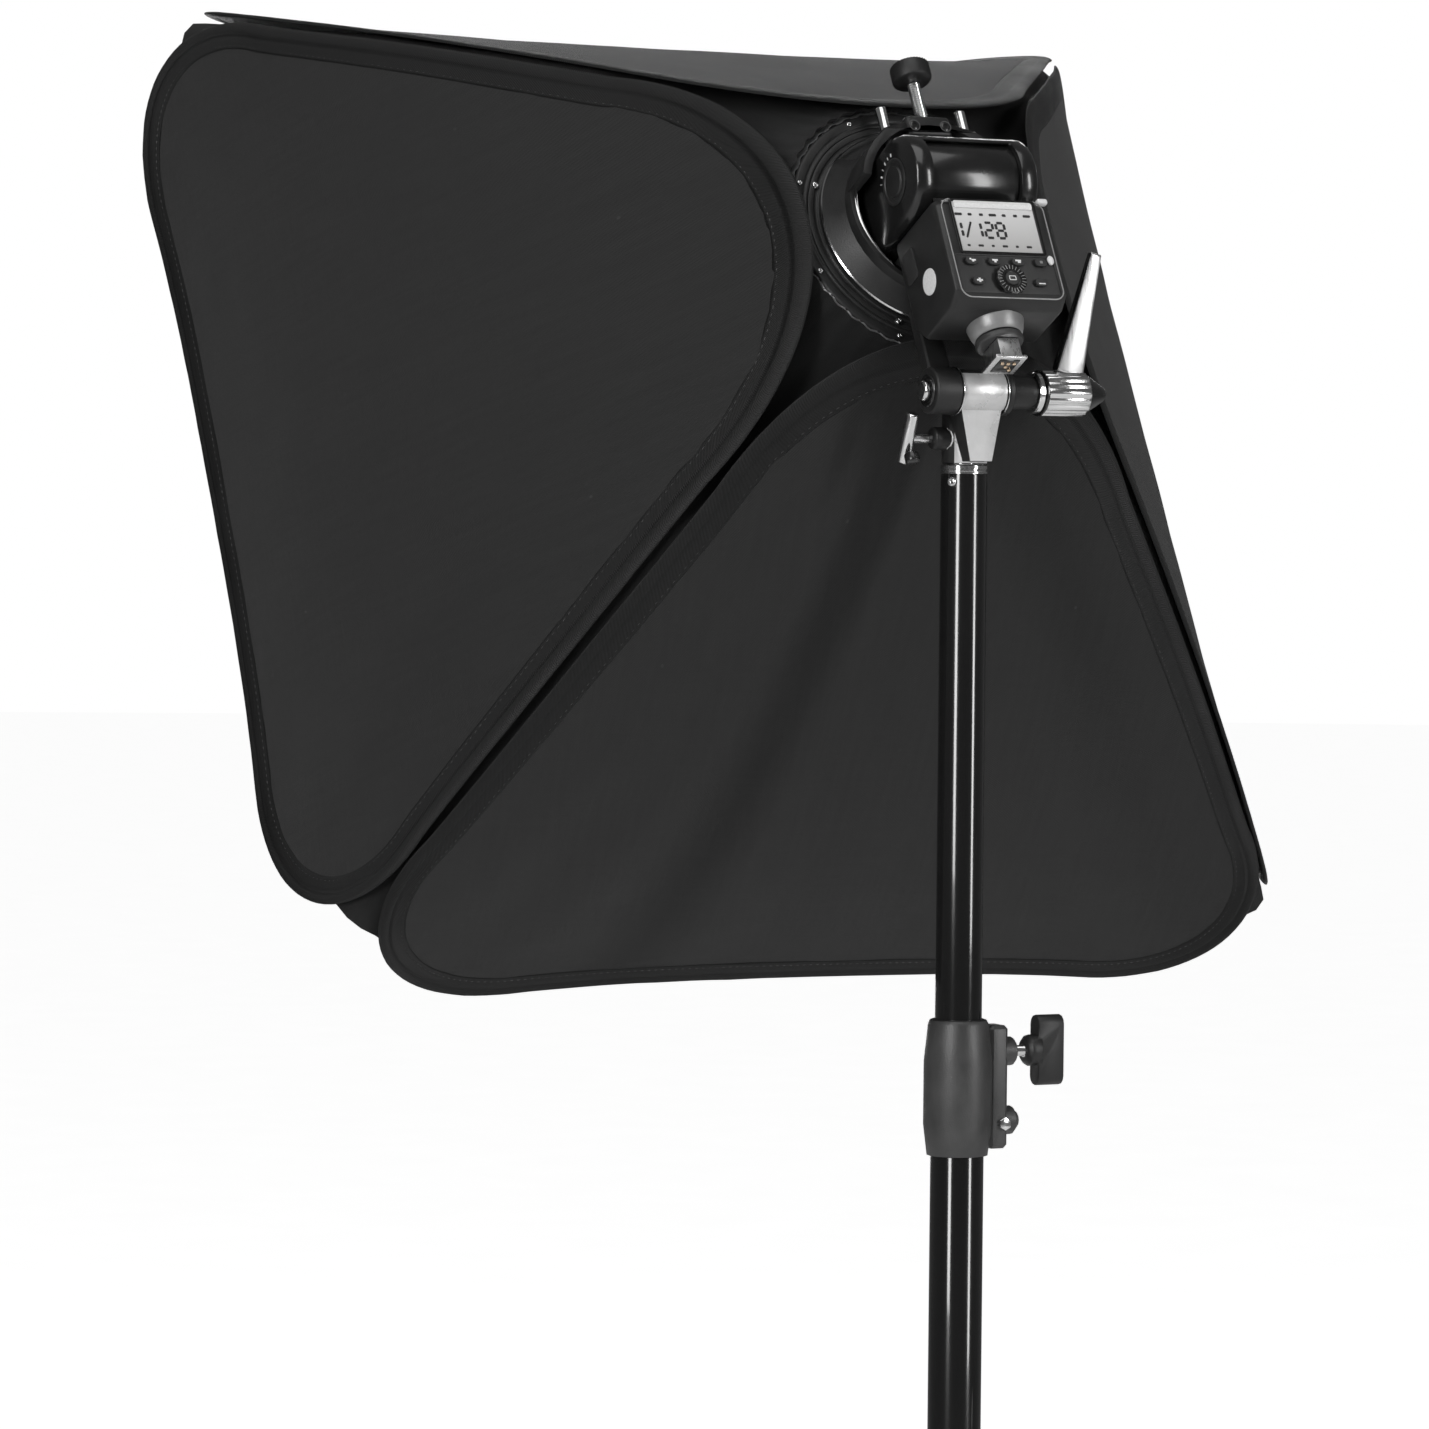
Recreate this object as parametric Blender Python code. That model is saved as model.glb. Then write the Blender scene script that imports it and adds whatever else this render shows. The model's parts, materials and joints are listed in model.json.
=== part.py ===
"""Collapsible studio softbox with its flash bracket, flash unit and light stand.

Metres, +Z up. The stand's pole is the Z axis, the floor is z = 0 and the softbox faces -Y.
"""

import math

import bmesh
import bpy
from mathutils import Matrix, Vector

GAP = 0.0003  # clearance between touching solids

# Stand: a three-section pole on folding legs
BASE_TUBE_RADIUS = 0.016
MID_TUBE_RADIUS = 0.01425
TOP_TUBE_RADIUS = 0.0125
TUBE_WALL = 0.0012
BASE_TUBE_BOTTOM = 0.100
BASE_TUBE_TOP = 0.700
MID_TUBE_LENGTH = 0.620
TOP_TUBE_LENGTH = 0.600
CLAMP_HEIGHT = 0.072
MID_EXTENSION = 0.250  # bare middle tube between the two clamps
TOP_EXTENSION = 0.291  # bare top tube above the upper clamp
CAP_THICKNESS = 0.005
SPIGOT_RADIUS = 0.008
SPIGOT_LENGTH = 0.022

# Folding legs: leg pivot, leg and brace form an isosceles triangle
LEG_DIRECTIONS = (90.0, 210.0, 330.0)
LEG_SPREAD = math.radians(44.4)
LEG_RADIUS = 0.0095
LEG_PIVOT_RADIUS = 0.034
BRACE_LENGTH = 0.220
BRACE_PIVOT_Z = 0.120
BRACE_WIDTH = 0.014
BRACE_THICKNESS = 0.003
PIVOT_PIN_RADIUS = 0.003
FOOT_RADIUS = 0.0125

# Head frame: the softbox axis is its -Y, its +Z leans forwards by the tilt
HEAD_TILT = math.radians(28.0)
AXIS_ABOVE_CAP = 0.149
HEAD_FORWARD = 0.0115
TILT_PIVOT_BACK = -0.031
TILT_PIVOT_UP = -0.109

# Bracket
HUB_INNER_RADIUS = 0.0445
HUB_OUTER_RADIUS = 0.0488
HUB_BACK = -0.030
HUB_FRONT = -0.048
FLANGE_RADIUS = 0.0590
BAYONET_RADIUS = 0.0655
MOUNT_RING_RADIUS = 0.0745
MOUNT_RING_FRONT = -0.061
HOOP_BACK = -0.012
CLAMP_SCREW_BACK = -0.0185
GUIDE_PIN_SPACING = 0.024
ARM_BACK = -0.0301
ARM_THICKNESS = 0.0086

# Flash unit
HEAD_HALF_WIDTH = 0.0375
HEAD_HALF_HEIGHT = 0.025
HEAD_FRONT = -0.078
NECK_HALF_WIDTH = 0.0258
NECK_DRUM_RADIUS = 0.0222
BODY_HALF_WIDTH = 0.034
BODY_FRONT = -0.022
BODY_BACK = 0.028
BODY_TOP = -0.0262
BODY_BOTTOM = -0.088
FLASH_AXIS_BACK = 0.003
DOOR_BACK = 0.0067
KEY_TRAVEL = 0.0006

# Softbox: four wire loops that lean inwards from the square front to the ring
SIDE_HALF = 0.300
SOFTBOX_DEPTH = 0.360
SLANT = math.radians(35.2)
LOOP_LENGTH = 0.393
LOOP_HALF_WIDTH = 0.272
CORNER_RADIUS = 0.092
APEX_RADIUS = 0.154
SIDE_BULGE = 0.008
PANEL_BOW = 0.050
CORNER_FLARE = 0.017
FLARE_FADE = 0.15
WIRE_RADIUS = 0.0022
PANEL_THICKNESS = 0.0016
PANEL_CLEARANCE = 0.0028  # between a sheet's edge and its wire, whose sides are straight
LINING_INSET = 0.0059
LINING_THICKNESS = 0.0008

# Heights worked out from the sizes above
LEG_PIVOT_Z = BRACE_PIVOT_Z + 2 * BRACE_LENGTH * math.cos(LEG_SPREAD)
LEG_LENGTH = LEG_PIVOT_Z / math.cos(LEG_SPREAD)
BASE_CLAMP_Z = BASE_TUBE_TOP - CLAMP_HEIGHT / 2
MID_CLAMP_Z = BASE_CLAMP_Z + CLAMP_HEIGHT + MID_EXTENSION
MID_TUBE_TOP = MID_CLAMP_Z + CLAMP_HEIGHT / 2
TOP_TUBE_TOP = MID_CLAMP_Z + CLAMP_HEIGHT + TOP_EXTENSION
CAP_TOP = TOP_TUBE_TOP + GAP + CAP_THICKNESS
HEAD_ORIGIN = Vector((0.0, -HEAD_FORWARD, CAP_TOP + AXIS_ABOVE_CAP))
HEAD_MATRIX = Matrix.Translation(HEAD_ORIGIN) @ Matrix.Rotation(HEAD_TILT, 4, "X")
LEG_KNOB_TURN = Matrix.Rotation(math.radians(150.0), 4, "Z")  # between two legs
TILT_PIVOT = HEAD_MATRIX @ Vector((0.0, TILT_PIVOT_BACK, TILT_PIVOT_UP))

# Colour, roughness and metallic value of each material
MATERIALS = {
    "black_fabric": ((0.018, 0.018, 0.019), 0.85, 0.0),
    "silver_fabric": ((0.62, 0.62, 0.63), 0.35, 0.6),
    "white_cloth": ((0.85, 0.85, 0.84), 0.80, 0.0),
    "black_gloss": ((0.012, 0.012, 0.013), 0.15, 0.6),
    "dark_metal": ((0.045, 0.045, 0.048), 0.42, 0.7),
    "bright_metal": ((0.72, 0.72, 0.74), 0.18, 1.0),
    "black_plastic": ((0.020, 0.020, 0.021), 0.45, 0.0),
    "rubber": ((0.015, 0.015, 0.015), 0.75, 0.0),
    "clear_lens": ((0.78, 0.80, 0.82), 0.12, 0.0),
    "display_glass": ((0.50, 0.53, 0.50), 0.20, 0.0),
}


def clear_scene():
    for item in list(bpy.data.objects):
        bpy.data.objects.remove(item, do_unlink=True)


def make_materials():
    made = {}
    for name, (colour, roughness, metallic) in MATERIALS.items():
        material = bpy.data.materials.new(name)
        material.use_nodes = True
        shader = material.node_tree.nodes["Principled BSDF"]
        shader.inputs["Base Color"].default_value = (*colour, 1.0)
        shader.inputs["Roughness"].default_value = roughness
        shader.inputs["Metallic"].default_value = metallic
        made[name] = material
    return made


def add_empty(name, matrix):
    empty = bpy.data.objects.new(name, None)
    bpy.context.collection.objects.link(empty)
    empty.matrix_world = matrix
    return empty


def add_object(name, bm, material, parent=None, place=None, smooth=True):
    """Turn a bmesh into a named object; place is its matrix in the parent's frame."""
    bmesh.ops.recalc_face_normals(bm, faces=bm.faces)
    mesh = bpy.data.meshes.new(name)
    bm.to_mesh(mesh)
    bm.free()
    if smooth:
        mesh.shade_smooth()
        mesh.set_sharp_from_angle(angle=math.radians(35))
    item = bpy.data.objects.new(name, mesh)
    bpy.context.collection.objects.link(item)
    if material:
        mesh.materials.append(MADE_MATERIALS[material])
    if parent:
        item.parent = parent
    item.matrix_local = place or Matrix.Identity(4)
    return item


def combine(target, other, operation="UNION"):
    """Apply a Boolean of target with other, and remove other."""
    bpy.context.view_layer.update()
    other.hide_render = True
    other.display_type = "WIRE"
    modifier = target.modifiers.new("combine", "BOOLEAN")
    modifier.operation = operation
    modifier.solver = "EXACT"
    modifier.object = other
    bpy.context.view_layer.update()
    graph = bpy.context.evaluated_depsgraph_get()
    mesh = bpy.data.meshes.new_from_object(target.evaluated_get(graph))
    target.modifiers.clear()
    target.data = mesh
    bpy.data.objects.remove(other, do_unlink=True)
    return target


def cut(target, other):
    return combine(target, other, "DIFFERENCE")


def lathe(profile, segments=24, closed=False):
    """Turn (radius, height) points about Z; a point on the axis is one vertex.

    A third number is a flute's depth: every second point of that ring is pulled in.
    """
    bm = bmesh.new()
    rings = []
    for radius, height, *flute in profile:
        if radius < 1e-7:
            rings.append([bm.verts.new((0.0, 0.0, height))])
            continue
        ring = []
        for k in range(segments):
            angle = 2 * math.pi * k / segments
            reach = radius - flute[0] if flute and k % 2 else radius
            ring.append(bm.verts.new((reach * math.cos(angle), reach * math.sin(angle), height)))
        rings.append(ring)
    pairs = list(zip(rings, rings[1:]))
    if closed:
        pairs.append((rings[-1], rings[0]))
    for lower, upper in pairs:
        for k in range(segments):
            after = (k + 1) % segments
            if len(lower) == 1:
                bm.faces.new((lower[0], upper[after], upper[k]))
            elif len(upper) == 1:
                bm.faces.new((lower[k], lower[after], upper[0]))
            else:
                bm.faces.new((lower[k], lower[after], upper[after], upper[k]))
    return bm


def rod(radius, low, high, segments=16, chamfer=0.0):
    """Solid cylinder on Z with optional chamfered ends."""
    inner = radius - chamfer
    profile = [(0.0, low), (inner, low)]
    if chamfer:
        profile += [(radius, low + chamfer), (radius, high - chamfer)]
    else:
        profile += [(radius, high)]
    if chamfer:
        profile += [(inner, high)]
    return lathe(profile + [(0.0, high)], segments)


def pipe(outer, inner, low, high, segments=24):
    return lathe([(inner, low), (outer, low), (outer, high), (inner, high)], segments, closed=True)


def prism(outline, low, high):
    """Extrude a flat outline of (x, y) points from low to high."""
    bm = bmesh.new()
    face = bm.faces.new([bm.verts.new((x, y, low)) for x, y in outline])
    made = bmesh.ops.extrude_face_region(bm, geom=[face])
    moved = [v for v in made["geom"] if isinstance(v, bmesh.types.BMVert)]
    bmesh.ops.translate(bm, verts=moved, vec=(0.0, 0.0, high - low))
    return bm


def block(size, centre, bevel=0.0, segments=1):
    bm = bmesh.new()
    bmesh.ops.create_cube(bm, size=1.0)
    bmesh.ops.scale(bm, verts=bm.verts, vec=size)
    if bevel:
        bmesh.ops.bevel(bm, geom=bm.edges[:], offset=bevel, segments=segments, affect="EDGES")
    bmesh.ops.translate(bm, verts=bm.verts, vec=centre)
    return bm


def rounded_outline(half_width, half_height, radius, steps=4):
    """Counter-clockwise rectangle with rounded corners."""
    points = []
    corners = ((1, 1, 0), (-1, 1, 90), (-1, -1, 180), (1, -1, 270))
    for sign_x, sign_y, start in corners:
        for k in range(steps + 1):
            angle = math.radians(start + 90 * k / steps)
            x = sign_x * (half_width - radius) + radius * math.cos(angle)
            y = sign_y * (half_height - radius) + radius * math.sin(angle)
            points.append((x, y))
    return points


def along_x(x=0.0, y=0.0, z=0.0):
    """Frame whose Z points along +X."""
    return Matrix.Translation((x, y, z)) @ Matrix.Rotation(math.radians(90), 4, "Y")


def along_y(x=0.0, y=0.0, z=0.0):
    """Frame whose Z points along +Y, its Y along -Z."""
    return Matrix.Translation((x, y, z)) @ Matrix.Rotation(math.radians(-90), 4, "X")


def at(x=0.0, y=0.0, z=0.0):
    return Matrix.Translation((x, y, z))


# ---------------------------------------------------------------- stand


def build_pole():
    base_inner = BASE_TUBE_RADIUS - TUBE_WALL - GAP
    bm = pipe(BASE_TUBE_RADIUS, base_inner, BASE_TUBE_BOTTOM, BASE_TUBE_TOP)
    add_object("base_tube", bm, "black_gloss")
    mid_bottom = MID_TUBE_TOP - MID_TUBE_LENGTH
    bm = pipe(MID_TUBE_RADIUS, TOP_TUBE_RADIUS + GAP, mid_bottom, MID_TUBE_TOP)
    add_object("mid_tube", bm, "black_gloss")
    top_bottom = TOP_TUBE_TOP - TOP_TUBE_LENGTH
    bm = pipe(TOP_TUBE_RADIUS, TOP_TUBE_RADIUS - TUBE_WALL, top_bottom, TOP_TUBE_TOP)
    add_object("top_tube", bm, "black_gloss")


def build_top_cap():
    """Bright cap with a plug down inside the tube and the spigot above."""
    plug = TOP_TUBE_RADIUS - TUBE_WALL - GAP
    seat = TOP_TUBE_TOP + GAP
    profile = [
        (0.0, seat - 0.02),
        (plug, seat - 0.02),
        (plug, seat),
        (TOP_TUBE_RADIUS + GAP, seat),
        (TOP_TUBE_RADIUS + GAP, CAP_TOP - 0.001),
        (TOP_TUBE_RADIUS - 0.001, CAP_TOP),
        (SPIGOT_RADIUS, CAP_TOP),
        (SPIGOT_RADIUS, CAP_TOP + SPIGOT_LENGTH - 0.0015),
        (SPIGOT_RADIUS - 0.0015, CAP_TOP + SPIGOT_LENGTH),
        (0.0, CAP_TOP + SPIGOT_LENGTH),
    ]
    add_object("top_cap", lathe(profile), "bright_metal")


def build_clamp(name, bottom, lower_radius, upper_radius):
    """Barrel-shaped clamp: it sits on the lower tube and lets the upper tube slide."""
    waist = lower_radius + 0.0022
    belly = lower_radius + 0.0042
    middle = bottom + CLAMP_HEIGHT / 2
    top = bottom + CLAMP_HEIGHT
    profile = [
        (lower_radius + GAP, bottom),
        (waist, bottom),
        (belly, bottom + 0.016),
        (belly, top - 0.022),
        (waist, top - 0.002),
        (waist - 0.001, top),
        (upper_radius + GAP, top),
        (upper_radius + GAP, middle + GAP),
        (lower_radius + GAP, middle + GAP),
    ]
    clamp = add_object(name, lathe(profile, 20, closed=True), "dark_metal")
    reach = lower_radius + 0.0125
    lug_inner = lower_radius + 0.0012
    centre_x = -(reach + lug_inner) / 2
    height = CLAMP_HEIGHT - 0.006
    lug = block((reach - lug_inner, 0.016, height), (centre_x, 0.0, middle), 0.002)
    combine(clamp, add_object("lug", lug, None))
    for offset in (0.0185, -0.0185):
        boss = rod(0.0078, reach - 0.004, reach + 0.006, 14, 0.001)
        turn = Matrix.Rotation(math.radians(180), 4, "Z") @ along_x(0.0, 0.0, middle + offset)
        combine(clamp, add_object("boss", boss, None, place=turn))
    end = rod(0.0052, reach + 0.005, reach + 0.0085, 12, 0.001)
    turn = Matrix.Rotation(math.radians(180), 4, "Z") @ along_x(0.0, 0.0, middle - 0.0185)
    combine(clamp, add_object("bolt_end", end, None, place=turn))
    return reach


def wing_knob(name, place, stem, hub, wing):
    """Screw stem, round hub and a two-lobed wing; its screw axis is the object's Z."""
    profile = [
        (0.0, 0.0),
        (stem, 0.0),
        (stem, 0.0065),
        (hub * 0.72, 0.0068),
        (hub, 0.009),
        (hub, 0.015),
        (0.0, 0.017),
    ]
    knob = add_object(name, lathe(profile, 14), "black_plastic", place=place)
    outline = rounded_outline(wing, 0.0052, 0.005, 3)
    lobe = add_object("lobe", prism(outline, 0.0135, 0.0290), None, place=place)
    return combine(knob, lobe)


def build_clamps():
    reach = build_clamp("base_clamp", BASE_CLAMP_Z, BASE_TUBE_RADIUS, MID_TUBE_RADIUS)
    flip = Matrix.Rotation(math.radians(180), 4, "Z")
    middle = BASE_CLAMP_Z + CLAMP_HEIGHT / 2 + 0.0185
    place = flip @ along_x(reach + 0.006 + GAP, 0.0, middle)
    wing_knob("base_clamp_knob", place, 0.003, 0.0085, 0.019)
    reach = build_clamp("mid_clamp", MID_CLAMP_Z, MID_TUBE_RADIUS, TOP_TUBE_RADIUS)
    middle = MID_CLAMP_Z + CLAMP_HEIGHT / 2 + 0.0185
    place = flip @ along_x(reach + 0.006 + GAP, 0.0, middle)
    wing_knob("mid_clamp_knob", place, 0.003, 0.0085, 0.019)
    place = LEG_KNOB_TURN @ along_x(0.0262 + GAP, 0.0, LEG_PIVOT_Z + 0.012)
    wing_knob("leg_collar_knob", place, 0.003, 0.007, 0.014)


def radial_frame(direction, radius, height):
    """Frame with X outwards, Y along the hinge axis and Z up."""
    turn = Matrix.Rotation(math.radians(direction), 4, "Z")
    return turn @ Matrix.Translation((radius, 0.0, height))


def build_leg_collar():
    """Sliding collar: a forked lug with its pin for each leg."""
    bore = BASE_TUBE_RADIUS + GAP
    low = LEG_PIVOT_Z - 0.010
    high = LEG_PIVOT_Z + 0.024
    profile = [(bore, low), (0.0225, low), (0.0225, high - 0.002), (0.0205, high), (bore, high)]
    collar = add_object("leg_collar", lathe(profile, 20, closed=True), "black_plastic")
    for direction in LEG_DIRECTIONS:
        frame = radial_frame(direction, LEG_PIVOT_RADIUS, LEG_PIVOT_Z)
        for side in (-1, 1):
            cheek = block((0.0205, 0.003, 0.016), (-0.0040, side * 0.0066, 0.0), 0.001)
            combine(collar, add_object("cheek", cheek, None, place=frame))
        pin = rod(PIVOT_PIN_RADIUS, -0.0096, 0.0096, 10)
        place = frame @ Matrix.Rotation(math.radians(90), 4, "X")
        combine(collar, add_object("pin", pin, None, place=place))
    boss = rod(0.007, 0.021, 0.0262, 14)
    place = LEG_KNOB_TURN @ along_x(0.0, 0.0, LEG_PIVOT_Z + 0.012)
    combine(collar, add_object("boss", boss, None, place=place))


def brace_offset():
    """How far to the side of the leg's centre plane a brace lies."""
    return LEG_RADIUS + 2 * GAP + 0.001 + BRACE_THICKNESS / 2


def build_brace_collar():
    """Fixed collar at the foot of the pole, with one tab beside each brace."""
    bore = BASE_TUBE_RADIUS + GAP
    tube_seat = BASE_TUBE_BOTTOM - GAP
    low = BASE_TUBE_BOTTOM - 0.006
    high = BRACE_PIVOT_Z + 0.012
    profile = [
        (0.0, low),
        (0.014, low),
        (0.021, low + 0.012),
        (0.021, high),
        (bore, high),
        (bore, tube_seat),
        (0.0, tube_seat),
    ]
    collar = add_object("brace_collar", lathe(profile), "black_plastic")
    tab_thickness = 0.004
    tab_side = brace_offset() + BRACE_THICKNESS / 2 + 2 * GAP + tab_thickness / 2
    for direction in LEG_DIRECTIONS:
        frame = radial_frame(direction, LEG_PIVOT_RADIUS, BRACE_PIVOT_Z)
        tab = block((0.033, tab_thickness, 0.016), (-0.0095, tab_side, 0.0), 0.001)
        combine(collar, add_object("tab", tab, None, place=frame))


def leg_frame(direction):
    pivot = radial_frame(direction, LEG_PIVOT_RADIUS, LEG_PIVOT_Z)
    return pivot @ Matrix.Rotation(-LEG_SPREAD, 4, "Y")


def build_leg(number, direction):
    """Round tube with a flat tongue on the collar's pin and a stub for its brace."""
    frame = leg_frame(direction)
    name = "leg_" + str(number)
    foot_start = LEG_LENGTH - 0.034
    tube = pipe(LEG_RADIUS, LEG_RADIUS - TUBE_WALL, -foot_start, -0.016, 16)
    leg = add_object(name, tube, "black_gloss", place=frame)
    plug = rod(LEG_RADIUS - 0.0004, -0.034, -0.0155, 16)
    combine(leg, add_object("plug", plug, None, place=frame))
    tongue = block((0.014, 0.0092, 0.026), (0.0, 0.0, -0.007), 0.0015)
    combine(leg, add_object("tongue", tongue, None, place=frame))
    hole = rod(PIVOT_PIN_RADIUS + GAP, -0.012, 0.012, 10)
    sideways = frame @ Matrix.Rotation(math.radians(90), 4, "X")
    cut(leg, add_object("hole", hole, None, place=sideways))
    low = LEG_RADIUS - 0.001
    high = brace_offset() + BRACE_THICKNESS / 2 + GAP
    stub = lathe(
        [
            (0.0, low),
            (0.005, low),
            (0.005, brace_offset() - BRACE_THICKNESS / 2 - GAP),
            (PIVOT_PIN_RADIUS, brace_offset() - BRACE_THICKNESS / 2 - GAP),
            (PIVOT_PIN_RADIUS, high),
            (0.0052, high),
            (0.0042, high + 0.0018),
            (0.0, high + 0.0018),
        ],
        10,
    )
    place = frame @ at(0.0, 0.0, -BRACE_LENGTH) @ Matrix.Rotation(math.radians(-90), 4, "X")
    combine(leg, add_object("stub", stub, None, place=place))


def build_brace(number, direction):
    """Flat bar from the leg's stub back to the fixed collar's tab."""
    frame = leg_frame(direction) @ at(0.0, 0.0, -BRACE_LENGTH)
    frame = frame @ Matrix.Rotation(2 * LEG_SPREAD, 4, "Y")
    half = BRACE_WIDTH / 2
    outline = []
    for k in range(9):
        angle = math.radians(180 * k / 8)
        outline.append((half * math.cos(angle), half * math.sin(angle)))
    for k in range(9):
        angle = math.radians(180 + 180 * k / 8)
        outline.append((half * math.cos(angle), half * math.sin(angle) - BRACE_LENGTH))
    low = -brace_offset() - BRACE_THICKNESS / 2
    place = frame @ Matrix.Rotation(math.radians(90), 4, "X")
    bar = prism(outline, low, low + BRACE_THICKNESS)
    brace = add_object("brace_" + str(number), bar, "dark_metal", place=place, smooth=False)
    for drop in (0.0, BRACE_LENGTH):
        hole = rod(PIVOT_PIN_RADIUS + GAP, low - 0.002, low + 0.006, 10)
        cut(brace, add_object("hole", hole, None, place=place @ at(0.0, -drop, 0.0)))


def build_foot(number, direction):
    """Rubber cap over the leg's end, worn flat where it meets the floor."""
    frame = leg_frame(direction)
    top = -LEG_LENGTH + 0.030
    end = -LEG_LENGTH - 0.010
    bore = LEG_RADIUS + GAP
    tube_end = -(LEG_LENGTH - 0.034) - GAP
    profile = [
        (0.0, end),
        (FOOT_RADIUS - 0.003, end),
        (FOOT_RADIUS, end + 0.003),
        (FOOT_RADIUS, top),
        (FOOT_RADIUS - 0.001, top + 0.012),
        (bore, top + 0.012),
        (bore, tube_end),
        (0.0, tube_end),
    ]
    bm = lathe(profile, 20)
    normal = frame.to_3x3().inverted() @ Vector((0.0, 0.0, 1.0))
    point = frame.inverted() @ Vector((0.0, 0.0, 0.0))
    everything = bm.verts[:] + bm.edges[:] + bm.faces[:]
    bmesh.ops.bisect_plane(bm, geom=everything, plane_co=point, plane_no=-normal, clear_outer=True)
    rim = [edge for edge in bm.edges if edge.is_boundary]
    bmesh.ops.contextual_create(bm, geom=rim)
    bmesh.ops.remove_doubles(bm, verts=bm.verts, dist=1e-6)
    add_object("foot_" + str(number), bm, "rubber", place=frame)


def build_legs():
    build_leg_collar()
    build_brace_collar()
    for number, direction in enumerate(LEG_DIRECTIONS, 1):
        build_leg(number, direction)
        build_brace(number, direction)
        build_foot(number, direction)


# ---------------------------------------------------------------- bracket


def build_socket():
    """Socket that turns on the spigot, with a tapered back and the tilt barrel above."""
    low = CAP_TOP + GAP
    barrel_radius = 0.0118
    socket = add_object("socket_body", rod(0.0122, low, low + 0.026, 20), "black_plastic")
    back = TILT_PIVOT.y
    outline = [
        (-0.0066, low + 0.001),
        (0.0066, low + 0.001),
        (0.0132, TILT_PIVOT.z - 0.004),
        (0.0132, TILT_PIVOT.z),
        (-0.0132, TILT_PIVOT.z),
        (-0.0132, TILT_PIVOT.z - 0.004),
    ]
    turned = [(x, -z) for x, z in outline]
    wedge = prism(turned, back - 0.0065, back + 0.0065)
    combine(socket, add_object("wedge", wedge, None, place=along_y()))
    barrel = rod(barrel_radius, -0.0132, 0.0132, 20)
    combine(socket, add_object("barrel", barrel, None, place=along_x(0.0, back, TILT_PIVOT.z)))
    boss = rod(0.0062, 0.008, 0.0200, 14, 0.001)
    combine(socket, add_object("boss", boss, None, place=along_x(0.0, 0.0, low + 0.013)))
    bore = rod(SPIGOT_RADIUS + GAP, low - 0.002, CAP_TOP + SPIGOT_LENGTH + GAP, 24)
    cut(socket, add_object("bore", bore, None))
    hole = rod(0.0040 + GAP, -0.02, 0.02, 16)
    cut(socket, add_object("hole", hole, None, place=along_x(0.0, back, TILT_PIVOT.z)))


def build_socket_screw():
    """T-shaped thumb screw on the socket's boss."""
    place = along_x(0.0200 + GAP, 0.0, CAP_TOP + GAP + 0.013)
    stem = rod(0.0028, 0.0, 0.0125, 12)
    screw = add_object("socket_screw", stem, "bright_metal", place=place)
    bar_place = place @ at(0.0, 0.0, 0.0135) @ Matrix.Rotation(math.radians(68), 4, "Z")
    bar_place = bar_place @ Matrix.Rotation(math.radians(90), 4, "X")
    combine(screw, add_object("bar", rod(0.0036, -0.014, 0.014, 12, 0.0008), None, place=bar_place))


def build_tilt_arm(head):
    """Fork on the tilt bolt: two ears that join below the clamp hub."""
    pivot = (TILT_PIVOT_BACK, TILT_PIVOT_UP)
    ears = ((0.0138, 0.0290), (-0.0180, -0.0138))
    arm = None
    for low, high in ears:
        disc = rod(0.0125, min(low, high), max(low, high), 20, 0.0008)
        ear = add_object("ear", disc, "black_plastic", head, along_x(0.0, *pivot))
        web_width = abs(high - low) - 0.002
        web = block((web_width, ARM_THICKNESS, 0.0482), ((low + high) / 2, ARM_BACK, -0.0844), 0.0010)
        combine(ear, add_object("web", web, None, head))
        arm = combine(arm, ear) if arm else ear
    cross = block((0.0450, ARM_THICKNESS - 0.0004, 0.0108), (0.0050, ARM_BACK, -0.0659), 0.0015)
    combine(arm, add_object("cross", cross, None, head))
    spacer = pipe(0.0090, 0.0040 + GAP, -0.0330, -0.0170, 16)
    combine(arm, add_object("spacer", spacer, None, head, along_x(0.0, *pivot)))
    hole = rod(0.0040 + GAP, -0.04, 0.04, 16)
    cut(arm, add_object("hole", hole, None, head, along_x(0.0, *pivot)))
    arm.name = "tilt_arm"


def build_tilt_bolt(head):
    pivot = (TILT_PIVOT_BACK, TILT_PIVOT_UP)
    profile = [
        (0.0, -0.0560),
        (0.0040, -0.0560),
        (0.0040, 0.0290 + GAP),
        (0.0055, 0.0290 + GAP),
        (0.0055, 0.0322),
        (0.0044, 0.0332),
        (0.0, 0.0332),
    ]
    add_object("tilt_bolt", lathe(profile, 16), "bright_metal", head, along_x(0.0, *pivot))


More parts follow.
